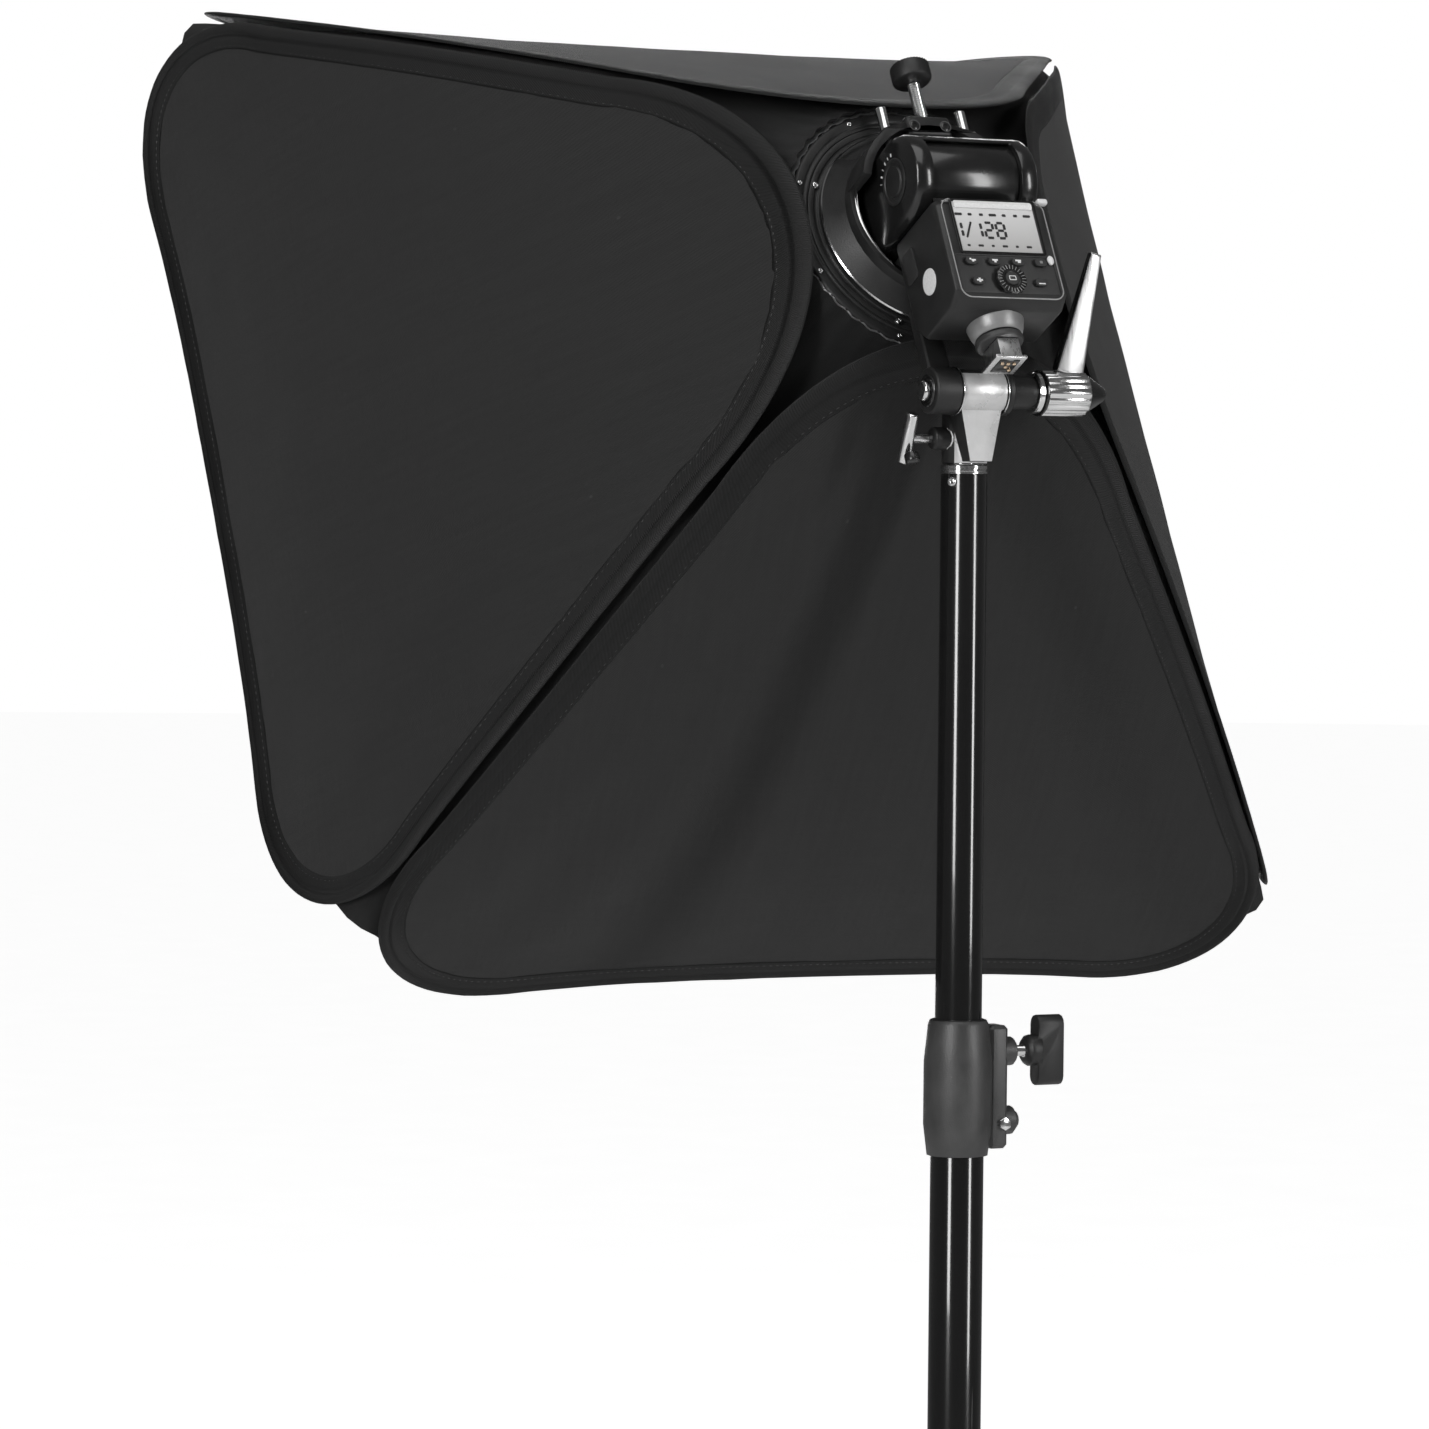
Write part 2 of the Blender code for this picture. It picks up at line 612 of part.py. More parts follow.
def build_tilt_handle(head):
    """Fluted drum that tightens the tilt bolt, and the long lever on its waist."""
    place = along_x(0.0, TILT_PIVOT_BACK, TILT_PIVOT_UP)
    bore = 0.0040 + GAP
    flute = 0.0008
    waist = 0.0098
    drum = [
        (0.0, -0.0565),
        (bore, -0.0565),
        (bore, -0.0333),
        (0.0116, -0.0333),
        (0.0116, -0.0365),
        (0.0112, -0.0367, flute),
        (0.0112, -0.0480, flute),
        (waist, -0.0480),
        (waist, -0.0600),
        (0.0112, -0.0600, flute),
        (0.0112, -0.0640, flute),
        (0.0105, -0.0655),
        (0.0030, -0.0775),
        (0.0, -0.0780),
    ]
    add_object("tilt_drum", lathe(drum, 24), "black_plastic", head, place)
    hub = pipe(0.0121, waist + GAP, -0.0597, -0.0483, 20)
    lever = add_object("tilt_lever", hub, "bright_metal", head, place)
    half = [(0.0034, 0.0113), (0.0062, 0.0150), (0.0034, 0.0760), (0.0016, 0.0776)]
    outline = half + [(-x, y) for x, y in half[::-1]]
    blade = prism(outline, -0.0035, 0.0035)
    lean = at(-0.0525, TILT_PIVOT_BACK, TILT_PIVOT_UP)
    lean = lean @ Matrix.Rotation(-HEAD_TILT, 4, "X") @ Matrix.Rotation(math.radians(-14), 4, "Y")
    lean = lean @ Matrix.Rotation(math.radians(90), 4, "X")
    combine(lever, add_object("blade", blade, None, head, lean))


def build_clamp_frame(head):
    """Hub ring that flares to the bayonet, with a half hoop over the flash head."""
    rough_bore = HUB_INNER_RADIUS - 0.0015
    profile = [
        (rough_bore, HUB_BACK),
        (HUB_OUTER_RADIUS, HUB_BACK),
        (HUB_OUTER_RADIUS + 0.0006, HUB_BACK - 0.006),
        (FLANGE_RADIUS, HUB_FRONT + 0.003),
        (FLANGE_RADIUS, HUB_FRONT),
        (rough_bore, HUB_FRONT),
    ]
    swapped = [(radius, -y) for radius, y in profile]
    turn = Matrix.Rotation(math.radians(90), 4, "X")
    frame = add_object("clamp_frame", lathe(swapped, 40, closed=True), "dark_metal", head, turn)
    outer = []
    inner = []
    for k in range(17):
        angle = math.radians(15 + 150 * k / 16)
        hoop_outer = HUB_OUTER_RADIUS + 0.0005
        outer.append((hoop_outer * math.cos(angle), hoop_outer * math.sin(angle)))
        inner.append((rough_bore * math.cos(angle), rough_bore * math.sin(angle)))
    outline = outer + inner[::-1]
    hoop = prism([(x, -z) for x, z in outline], HUB_BACK - 0.002, HOOP_BACK)
    combine(frame, add_object("hoop", hoop, None, head, along_y()))
    crown = block((0.058, 0.0180, 0.0135), (0.0, -0.0210, 0.0443), 0.0015)
    combine(frame, add_object("crown", crown, None, head))
    foot = block((0.0400, ARM_THICKNESS, 0.0150), (0.0050, ARM_BACK, -0.0525), 0.0015)
    combine(frame, add_object("arm_seat", foot, None, head))
    boss = rod(0.0060, 0.0440, 0.0540, 14)
    place = Matrix.Rotation(math.radians(180), 4, "Z") @ along_x(0.0, 0.0360, 0.0140)
    combine(frame, add_object("pin_boss", boss, None, head, place))
    bore = rod(HUB_INNER_RADIUS, -0.060, 0.0, 40)
    cut(frame, add_object("bore", bore, None, head, along_y()))
    for x in (-GUIDE_PIN_SPACING, GUIDE_PIN_SPACING):
        hole = rod(0.0030 + GAP, 0.02, 0.07, 12)
        cut(frame, add_object("hole", hole, None, head, at(x, CLAMP_SCREW_BACK, 0.0)))
    hole = rod(0.0035 + GAP, 0.02, 0.07, 14)
    cut(frame, add_object("hole", hole, None, head, at(0.0, CLAMP_SCREW_BACK, 0.0)))
    hole = rod(0.0024 + GAP, 0.0430, 0.060, 12)
    place = Matrix.Rotation(math.radians(180), 4, "Z") @ along_x(0.0, 0.0360, 0.0140)
    cut(frame, add_object("hole", hole, None, head, place))


def build_clamp_plate(head):
    """Jaw that presses on the flash head, with its two guide pins."""
    low = HEAD_HALF_HEIGHT + GAP
    jaw = block((0.0544, 0.0150, 0.0046), (0.0, CLAMP_SCREW_BACK - 0.001, low + 0.0023), 0.0008)
    plate = add_object("clamp_plate", jaw, "dark_metal", head)
    for x in (-GUIDE_PIN_SPACING, GUIDE_PIN_SPACING):
        pin = rod(0.0030, low + 0.003, 0.0575, 12, 0.0005)
        combine(plate, add_object("pin", pin, None, head, at(x, CLAMP_SCREW_BACK, 0.0)))


def build_clamp_knob(head):
    """Knurled knob with the screw that drives the jaw."""
    low = HEAD_HALF_HEIGHT + GAP + 0.0046 + GAP
    flute = 0.0007
    profile = [
        (0.0, low),
        (0.0035, low),
        (0.0035, 0.0735),
        (0.0112, 0.0735),
        (0.0122, 0.0745, flute),
        (0.0122, 0.0850, flute),
        (0.0112, 0.0860),
        (0.0, 0.0860),
    ]
    place = at(0.0, CLAMP_SCREW_BACK, 0.0)
    add_object("clamp_knob", lathe(profile, 28), "black_plastic", head, place)


def build_lower_pad(head):
    """Rubber rest under the flash head, inside the hub."""
    top = -HEAD_HALF_HEIGHT - GAP
    pad = block((0.050, 0.0150, 0.0200), (0.0, -0.0385, top - 0.0100))
    pad = add_object("lower_pad", pad, "rubber", head)
    bore = rod(HUB_INNER_RADIUS - GAP, -0.060, -0.020, 36)
    combine(pad, add_object("bore", bore, None, head, along_y()), "INTERSECT")


def build_rings(head):
    """Bracket's bayonet ring and, around it, the softbox's own mount ring."""
    turn = Matrix.Rotation(math.radians(90), 4, "X")
    back = -HUB_FRONT + GAP
    profile = [
        (HUB_INNER_RADIUS, back),
        (BAYONET_RADIUS, back),
        (BAYONET_RADIUS, back + 0.0060),
        (BAYONET_RADIUS - 0.004, back + 0.0075),
        (HUB_INNER_RADIUS, back + 0.0075),
    ]
    add_object("bayonet_ring", lathe(profile, 36, closed=True), "dark_metal", head, turn)
    inner = BAYONET_RADIUS + GAP
    front = -MOUNT_RING_FRONT
    step = back + 0.0075 + GAP
    profile = [
        (inner, back),
        (MOUNT_RING_RADIUS - 0.001, back),
        (MOUNT_RING_RADIUS, back + 0.001),
        (MOUNT_RING_RADIUS, front),
        (HUB_INNER_RADIUS + 0.003, front),
        (HUB_INNER_RADIUS + 0.003, step),
        (inner, step),
    ]
    add_object("mount_ring", lathe(profile, 36, closed=True), "dark_metal", head, turn)


def build_lock_pin(head):
    """Spring pin at the bracket's side that frees the bayonet."""
    profile = [
        (0.0, 0.0448),
        (0.0024, 0.0448),
        (0.0024, 0.0545),
        (0.0034, 0.0545),
        (0.0034, 0.0628),
        (0.0026, 0.0636),
        (0.0, 0.0636),
    ]
    place = Matrix.Rotation(math.radians(180), 4, "Z") @ along_x(0.0, 0.0360, 0.0140)
    add_object("ring_lock_pin", lathe(profile, 14), "bright_metal", head, place)


# ---------------------------------------------------------------- flash unit


def build_flash_head(head):
    """Box with a half-round back, slotted for the neck's drum."""
    outline = [(HEAD_FRONT, -HEAD_HALF_HEIGHT)]
    for k in range(13):
        angle = math.radians(-90 + 180 * k / 12)
        outline.append((HEAD_HALF_HEIGHT * math.cos(angle), HEAD_HALF_HEIGHT * math.sin(angle)))
    outline.append((HEAD_FRONT, HEAD_HALF_HEIGHT))
    side = Matrix.Rotation(math.radians(90), 4, "Z") @ Matrix.Rotation(math.radians(90), 4, "X")
    bm = prism(outline, -HEAD_HALF_WIDTH, HEAD_HALF_WIDTH)
    shell = add_object("flash_head", bm, "black_plastic", head, side)
    round_off = shell.modifiers.new("edges", "BEVEL")
    round_off.width = 0.0045
    round_off.segments = 2
    round_off.limit_method = "ANGLE"
    round_off.angle_limit = math.radians(40)
    room = NECK_DRUM_RADIUS + 0.0005
    slot = 0.0148
    start = math.degrees(math.asin(slot / room))
    cutter = []
    for k in range(17):
        angle = math.radians(start + (270 - 2 * start) * k / 16)
        cutter.append((room * math.cos(angle), room * math.sin(angle)))
    cutter.append((-slot, -0.040))
    cutter.append((0.040, -0.040))
    cutter.append((0.040, slot))
    bm = prism(cutter, -NECK_HALF_WIDTH - 0.0004, NECK_HALF_WIDTH + 0.0004)
    cut(shell, add_object("slot", bm, None, head, side))


def build_flash_lens(head):
    lens = block((0.066, 0.0030, 0.0400), (0.0, HEAD_FRONT - GAP - 0.0015, 0.0), 0.0008)
    add_object("flash_lens", lens, "clear_lens", head)


def build_flash_neck(head):
    """Drum between the head's cheeks, its stem and the turntable on the body."""
    drum = rod(NECK_DRUM_RADIUS, -NECK_HALF_WIDTH, NECK_HALF_WIDTH, 28)
    neck = add_object("flash_neck", drum, "black_plastic", head, along_x())
    stem = block((2 * NECK_HALF_WIDTH - 0.001, 0.0270, 0.0240), (0.0, 0.0, BODY_TOP + GAP + 0.0120))
    combine(neck, add_object("stem", stem, None, head))


def build_flash_body(head):
    """Battery body that hangs below the head, with the metal collar under it."""
    outline = [
        (BODY_FRONT, BODY_TOP),
        (BODY_FRONT, BODY_BOTTOM + 0.010),
        (BODY_FRONT + 0.008, BODY_BOTTOM),
        (BODY_BACK - 0.010, BODY_BOTTOM),
        (BODY_BACK, BODY_BOTTOM + 0.006),
        (BODY_BACK, BODY_TOP - 0.004),
        (BODY_BACK - 0.004, BODY_TOP),
    ]
    side = Matrix.Rotation(math.radians(90), 4, "Z") @ Matrix.Rotation(math.radians(90), 4, "X")
    bm = prism(outline, -BODY_HALF_WIDTH, BODY_HALF_WIDTH)
    body = add_object("flash_body", bm, "black_plastic", head, side)
    round_off = body.modifiers.new("edges", "BEVEL")
    round_off.width = 0.003
    round_off.segments = 2
    round_off.limit_method = "ANGLE"
    round_off.angle_limit = math.radians(60)
    collar = lathe(
        [
            (0.0, BODY_BOTTOM - 0.008),
            (0.0118, BODY_BOTTOM - 0.008),
            (0.0138, BODY_BOTTOM - 0.005),
            (0.0150, BODY_BOTTOM + 0.003),
            (0.0, BODY_BOTTOM + 0.003),
        ],
        20,
    )
    combine(body, add_object("collar", collar, None, head, at(0.0, FLASH_AXIS_BACK, 0.0)))
    pocket = block((0.0490, 0.0030, 0.0310), (0.0, BODY_BACK, -0.0432))
    cut(body, add_object("pocket", pocket, None, head))
    bay = block((0.0040, 0.0306, 0.0440), (-BODY_HALF_WIDTH, DOOR_BACK, -0.0570))
    cut(body, add_object("bay", bay, None, head))
    keys = block((0.0580, 0.0018, 0.0235), (0.0, BODY_BACK, -0.07225))
    cut(body, add_object("keys", keys, None, head))


def build_display(head):
    glass = block((0.0484, 0.0012, 0.0304), (0.0, BODY_BACK - 0.0006, -0.0432), 0.0003)
    add_object("display", glass, "display_glass", head)


def build_battery_door(head):
    x = -BODY_HALF_WIDTH + 0.0010 - GAP / 2
    door = block((0.0016, 0.0300, 0.0434), (x, DOOR_BACK, -0.0570), 0.0003)
    add_object("battery_door", door, "black_plastic", head)


def build_controls(head):
    """Push buttons, and the ribbed dial with its own centre button."""
    surface = BODY_BACK - 0.0009 + GAP + KEY_TRAVEL
    row_one = [(0.0206, -0.0644), (0.0070, -0.0644), (-0.0070, -0.0644), (-0.0206, -0.0644)]
    row_two = [(0.0190, -0.0765), (-0.0180, -0.0765)]
    outline = rounded_outline(0.0036, 0.0023, 0.0020, 2)
    for number, (x, z) in enumerate(row_one + row_two, 1):
        place = along_y(x, surface, z)
        add_object("button_" + str(number), prism(outline, 0.0, 0.0014), "black_plastic", head, place)
    place = along_y(0.0, surface, -0.0755)
    bore = 0.0040 + GAP
    profile = [(bore, 0.0), (0.0088, 0.0, 0.0005), (0.0088, 0.0024, 0.0005), (bore, 0.0024)]
    dial = lathe(profile, 28, closed=True)
    add_object("control_dial", dial, "black_plastic", head, place)
    add_object("dial_button", rod(0.0040, 0.0, 0.0030, 16), "black_plastic", head, place)


def build_foot_mount(head):
    """Lock ring and the metal hot-shoe foot."""
    low = BODY_BOTTOM - 0.008 - GAP
    place = at(0.0, FLASH_AXIS_BACK, 0.0)
    neck = pipe(0.0130, 0.0060 + GAP, low - 0.0042, low, 20)
    add_object("foot_lock_ring", neck, "dark_metal", head, place)
    foot_top = low - 0.0042 - GAP
    foot = block((0.0186, 0.0180, 0.0020), (0.0, 0.0, -0.1125 + 0.0010), 0.0003)
    foot = add_object("hot_shoe_foot", foot, "bright_metal", head, place)
    pad = block((0.0125, 0.0180, foot_top + 0.1115), (0.0, 0.0, (foot_top - 0.1115) / 2))
    combine(foot, add_object("pad", pad, None, head, place))
    stem = rod(0.0060, foot_top - 0.001, low, 16)
    combine(foot, add_object("stem", stem, None, head, place))


# ---------------------------------------------------------------- softbox


def loop_circles(inset):
    """Corner circle, apex circle and the direction of the tangent side's outward normal."""
    corner = (LOOP_HALF_WIDTH - CORNER_RADIUS, CORNER_RADIUS)
    apex = (0.0, LOOP_LENGTH - APEX_RADIUS)
    across = apex[0] - corner[0]
    along = apex[1] - corner[1]
    slope = math.atan2(along, across)
    turn = math.asin((APEX_RADIUS - CORNER_RADIUS) / math.hypot(across, along))
    return corner, CORNER_RADIUS - inset, apex, APEX_RADIUS - inset, slope - math.pi / 2 - turn


def side_bulge(share):
    """Extra half width along a loop's slanted side, most at its middle."""
    return SIDE_BULGE * math.sin(math.pi * share)


def half_width(along, inset):
    """Half the loop's width at a distance along it from the front edge."""
    corner, corner_radius, apex, apex_radius, normal = loop_circles(inset)
    start = corner[1] + corner_radius * math.sin(normal)
    end = apex[1] + apex_radius * math.sin(normal)
    if along <= start:
        rise = max(0.0, corner_radius**2 - (along - corner[1]) ** 2)
        return corner[0] + math.sqrt(rise)
    if along >= end:
        return math.sqrt(max(0.0, apex_radius**2 - (along - apex[1]) ** 2))
    share = (along - start) / (end - start)
    first = corner[0] + corner_radius * math.cos(normal)
    last = apex_radius * math.cos(normal)
    return first + (last - first) * share + side_bulge(share)


def slant_point(across, along, out=0.0):
    """Distance from the axis and depth from the front plane of a point on a panel."""
    bow = PANEL_BOW * math.sin(math.pi * min(max(along / LOOP_LENGTH, 0.0), 1.0)) + out
    flare = CORNER_FLARE * (abs(across) / LOOP_HALF_WIDTH) ** 3 * math.exp(-along / FLARE_FADE)
    reach = SIDE_HALF - along * math.sin(SLANT) + bow * math.cos(SLANT) + flare
    forward = SOFTBOX_DEPTH - along * math.cos(SLANT) + bow * math.sin(SLANT)
    return reach, forward


def panel_point(side, across, along, out=0.0):
    """Head-frame point of the left, right, top or bottom panel."""
    reach, forward = slant_point(across, along, out)
    if side == "left":
        return Vector((reach, -forward, across))
    if side == "right":
        return Vector((-reach, -forward, across))
    if side == "top":
        return Vector((across, -forward, reach))
    return Vector((across, -forward, -reach))


def build_panel(side, head):
    """Thin bowed sheet that fills its wire loop."""
    inset = 2 * WIRE_RADIUS + PANEL_CLEARANCE
    rows = 10
    columns = 6
    bm = bmesh.new()
    layers = []
    for out in (-PANEL_THICKNESS / 2, PANEL_THICKNESS / 2):
        grid = []
        for i in range(rows + 1):
            share = 0.5 - 0.5 * math.cos(math.pi * i / rows)
            along = inset + share * (LOOP_LENGTH - 2 * inset - 0.0006)
            width = half_width(along, inset)
            row = []
            for j in range(columns + 1):
                across = width * (2 * j / columns - 1)
                row.append(bm.verts.new(panel_point(side, across, along, out)))
            grid.append(row)
        layers.append(grid)
    for grid in layers:
        for i in range(rows):
            for j in range(columns):
                bm.faces.new((grid[i][j], grid[i][j + 1], grid[i + 1][j + 1], grid[i + 1][j]))
    edge = [(0, j) for j in range(columns)]
    edge += [(i, columns) for i in range(rows)]
    edge += [(rows, j) for j in range(columns, 0, -1)]
    edge += [(i, 0) for i in range(rows, 0, -1)]
    low, high = layers
    for (i, j), (m, n) in zip(edge, edge[1:] + edge[:1]):
        bm.faces.new((low[i][j], low[m][n], high[m][n], high[i][j]))
    add_object("panel_" + side, bm, "black_fabric", head)


def build_wire(side, head):
    """Closed spring-wire loop in the panel's hem."""
    inset = WIRE_RADIUS
    corner, corner_radius, apex, apex_radius, normal = loop_circles(inset)
    half = []
    for k in range(4):
        half.append((corner[0] * k / 4, inset))
    for k in range(9):
        angle = -math.pi / 2 + (normal + math.pi / 2) * k / 8
        across = corner[0] + corner_radius * math.cos(angle)
        half.append((across, corner[1] + corner_radius * math.sin(angle)))
    first = half[-1]
    last = (apex_radius * math.cos(normal), apex[1] + apex_radius * math.sin(normal))
    for k in range(1, 5):
        share = k / 5
        across = first[0] + (last[0] - first[0]) * share + side_bulge(share)
        half.append((across, first[1] + (last[1] - first[1]) * share))
    for k in range(7):
        angle = normal + (math.pi / 2 - normal) * k / 6
        half.append((apex_radius * math.cos(angle), apex[1] + apex_radius * math.sin(angle)))
    outline = half + [(-across, along) for across, along in half[-2:0:-1]]
    curve = bpy.data.curves.new("wire_" + side, "CURVE")
    curve.dimensions = "3D"
    curve.bevel_depth = WIRE_RADIUS
    curve.bevel_resolution = 1
    spline = curve.splines.new("POLY")
    spline.points.add(len(outline) - 1)
    for point, (across, along) in zip(spline.points, outline):
        point.co = (*panel_point(side, across, along), 1.0)
    spline.use_cyclic_u = True
    curve.materials.append(MADE_MATERIALS["black_fabric"])
    item = bpy.data.objects.new("wire_" + side, curve)
    bpy.context.collection.objects.link(item)
    item.parent = head


def lining_ring(half_side, corner, forward, count, spread=0.0):
    """Rounded square of points about the softbox axis, starting at +X, then widened by spread."""
    points = []
    straight = half_side - corner
    for k in range(count):
        angle = 2 * math.pi * k / count
        x = math.cos(angle)
        z = math.sin(angle)
        scale = half_side / max(abs(x), abs(z))
        x *= scale
        z *= scale
        over_x = abs(x) - straight
        over_z = abs(z) - straight
        if over_x > 0 and over_z > 0:
            shrink = corner / math.hypot(over_x, over_z)
            x = math.copysign(straight + over_x * shrink, x)
            z = math.copysign(straight + over_z * shrink, z)
        widened = 1 + spread / half_side
        points.append(Vector((x * widened, -forward, z * widened)))
    return points


def lining_rings(deep, count):
    """Rings of one face of the lining, deep inside its outer face, from the mount ring to the front."""
    ring = MOUNT_RING_RADIUS + 2 * GAP + 0.0001 + LINING_THICKNESS
    rings = [lining_ring(ring, ring, -MOUNT_RING_FRONT + step, count, -deep) for step in (-0.009, 0.001)]
    # distance along a panel from its front edge, and the lining's corner radius there
    stations = [
        (0.345, 0.070), (0.290, 0.060), (0.220, 0.045), (0.140, 0.040), (0.070, 0.040), (0.016, 0.045),
    ]
    for along, corner in stations:
        reach, forward = slant_point(0.0, along, -LINING_INSET)
        forward += deep * math.sin(SLANT)
        rings.append(lining_ring(reach, corner, forward, count, -deep * math.cos(SLANT)))
    return rings


def build_lining(head):
    """Reflective inner shell, open at the front and at the ring."""
    count = 40
    bm = bmesh.new()
    outer = lining_rings(0.0, count)
    inner = lining_rings(LINING_THICKNESS, count)
    rings = [[bm.verts.new(point) for point in ring] for ring in outer + inner[::-1]]
    for lower, upper in zip(rings, rings[1:] + rings[:1]):
        for k in range(count):
            after = (k + 1) % count
            bm.faces.new((lower[k], lower[after], upper[after]))
            bm.faces.new((lower[k], upper[after], upper[k]))
    add_object("inner_lining", bm, "silver_fabric", head)


def build_diffuser(head):
    """White front cloth, held inside the lining a little behind the front edges."""
    reach, forward = slant_point(0.0, 0.030, -LINING_INSET - 0.0036)
    count = 40
    bm = bmesh.new()
    shares = (1.0, 0.8, 0.5)
    sheets = []
    for step in (0.0, 0.002):
        rings = []
        for share in shares:
            bulge = 0.008 * (1 - share**2) + step
            ring = lining_ring(reach * share, 0.042 * share, forward + bulge, count)
            rings.append([bm.verts.new(point) for point in ring])
        centre = bm.verts.new((0.0, -(forward + 0.008 + step), 0.0))
        sheets.append(rings)
        for lower, upper in zip(rings, rings[1:]):
            for k in range(count):
                after = (k + 1) % count
                bm.faces.new((lower[k], lower[after], upper[after], upper[k]))
        for k in range(count):
            bm.faces.new((rings[-1][k], rings[-1][(k + 1) % count], centre))
    back, front = sheets
    for k in range(count):
        after = (k + 1) % count
        bm.faces.new((back[0][k], back[0][after], front[0][after], front[0][k]))
    add_object("front_diffuser", bm, "white_cloth", head)


def build_softbox(head):
    for side in ("left", "right", "top", "bottom"):
        build_panel(side, head)
        build_wire(side, head)
    build_lining(head)
    build_diffuser(head)


def build_bracket(head):
    build_socket()
    build_socket_screw()
    build_tilt_arm(head)
    build_tilt_bolt(head)
    build_tilt_handle(head)
    build_clamp_frame(head)
    build_clamp_plate(head)
    build_clamp_knob(head)
    build_lower_pad(head)
    build_rings(head)
    build_lock_pin(head)


def build_flash(head):
    build_flash_head(head)
    build_flash_lens(head)
    build_flash_neck(head)
    build_flash_body(head)
    build_display(head)
    build_battery_door(head)
    build_controls(head)
    build_foot_mount(head)


clear_scene()
MADE_MATERIALS = make_materials()
head_frame = add_empty("head_frame", HEAD_MATRIX)
build_pole()
build_top_cap()
build_clamps()
build_legs()
build_bracket(head_frame)
build_flash(head_frame)
build_softbox(head_frame)
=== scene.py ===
import json
import math

import bmesh
import bpy
from mathutils import Matrix, Vector, noise

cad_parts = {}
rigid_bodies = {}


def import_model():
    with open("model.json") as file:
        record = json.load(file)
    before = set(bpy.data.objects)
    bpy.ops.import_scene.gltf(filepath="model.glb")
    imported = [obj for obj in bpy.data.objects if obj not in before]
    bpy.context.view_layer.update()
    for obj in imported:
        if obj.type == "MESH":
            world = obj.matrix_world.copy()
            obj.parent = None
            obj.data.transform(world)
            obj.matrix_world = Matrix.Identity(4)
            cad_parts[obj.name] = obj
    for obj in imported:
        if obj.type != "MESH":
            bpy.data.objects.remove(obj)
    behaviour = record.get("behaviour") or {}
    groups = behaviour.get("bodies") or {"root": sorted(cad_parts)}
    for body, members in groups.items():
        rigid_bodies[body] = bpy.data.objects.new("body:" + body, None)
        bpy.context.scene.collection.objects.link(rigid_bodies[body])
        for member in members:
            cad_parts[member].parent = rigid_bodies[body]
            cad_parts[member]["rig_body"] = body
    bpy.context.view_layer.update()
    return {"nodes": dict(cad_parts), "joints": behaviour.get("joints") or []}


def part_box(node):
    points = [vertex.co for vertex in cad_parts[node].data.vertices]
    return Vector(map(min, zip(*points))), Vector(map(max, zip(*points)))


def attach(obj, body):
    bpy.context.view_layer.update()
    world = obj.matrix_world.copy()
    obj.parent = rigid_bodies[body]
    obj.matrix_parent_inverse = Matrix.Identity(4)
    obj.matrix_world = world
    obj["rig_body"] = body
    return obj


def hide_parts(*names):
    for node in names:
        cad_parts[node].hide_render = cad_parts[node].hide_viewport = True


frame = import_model()
nodes = frame["nodes"]
joints = {joint["name"]: joint for joint in frame["joints"]}

# The light head leans forward, so its parts are placed in its own axes: x across, y backwards, z up
headAt = Vector(joints["flash_bounce"]["pos_m"])
headBack = Vector(joints["flash_slide"]["axis"]).normalized()
headUp = Vector(joints["clamp_jaw_slide"]["axis"]).normalized()
headPlace = Matrix.Translation(headAt) @ Matrix((
    (1.0, headBack.x, headUp.x),
    (0.0, headBack.y, headUp.y),
    (0.0, headBack.z, headUp.z),
)).to_4x4()
toHead = headPlace.inverted()
turnToBack = Matrix.Rotation(math.radians(-90), 4, "X")  # a turned piece's length along +y
turnToSide = Matrix.Rotation(math.radians(90), 4, "Y")  # and along +x


def at(x, y, z):
    return Matrix.Translation((x, y, z))


def clearSelection():
    if bpy.context.object and bpy.context.object.mode != "OBJECT":
        bpy.ops.object.mode_set(mode="OBJECT")
    bpy.ops.object.select_all(action="DESELECT")


def makeActive(piece):
    clearSelection()
    piece.select_set(True)
    bpy.context.view_layer.objects.active = piece


class Value:
    # a shader socket that can be added, multiplied and so on
    def __init__(self, finish, socket):
        self.finish = finish
        self.socket = socket

    def combine(self, operation, first, second):
        return self.finish.node("ShaderNodeMath", {"operation": operation}, {0: first, 1: second})

    def __add__(self, other):
        return self.combine("ADD", self, other)

    def __radd__(self, other):
        return self.combine("ADD", other, self)

    def __sub__(self, other):
        return self.combine("SUBTRACT", self, other)

    def __rsub__(self, other):
        return self.combine("SUBTRACT", other, self)

    def __mul__(self, other):
        return self.combine("MULTIPLY", self, other)

    def __rmul__(self, other):
        return self.combine("MULTIPLY", other, self)

    def sine(self):
        return self.finish.node("ShaderNodeMath", {"operation": "SINE"}, {0: self})

    def size(self):
        return self.finish.node("ShaderNodeMath", {"operation": "ABSOLUTE"}, {0: self})

    def between(self, low, high, newLow=0.0, newHigh=1.0):
        spread = {"From Min": low, "From Max": high, "To Min": newLow, "To Max": newHigh}
        return self.finish.node("ShaderNodeMapRange", {"clamp": True}, {"Value": self, **spread})


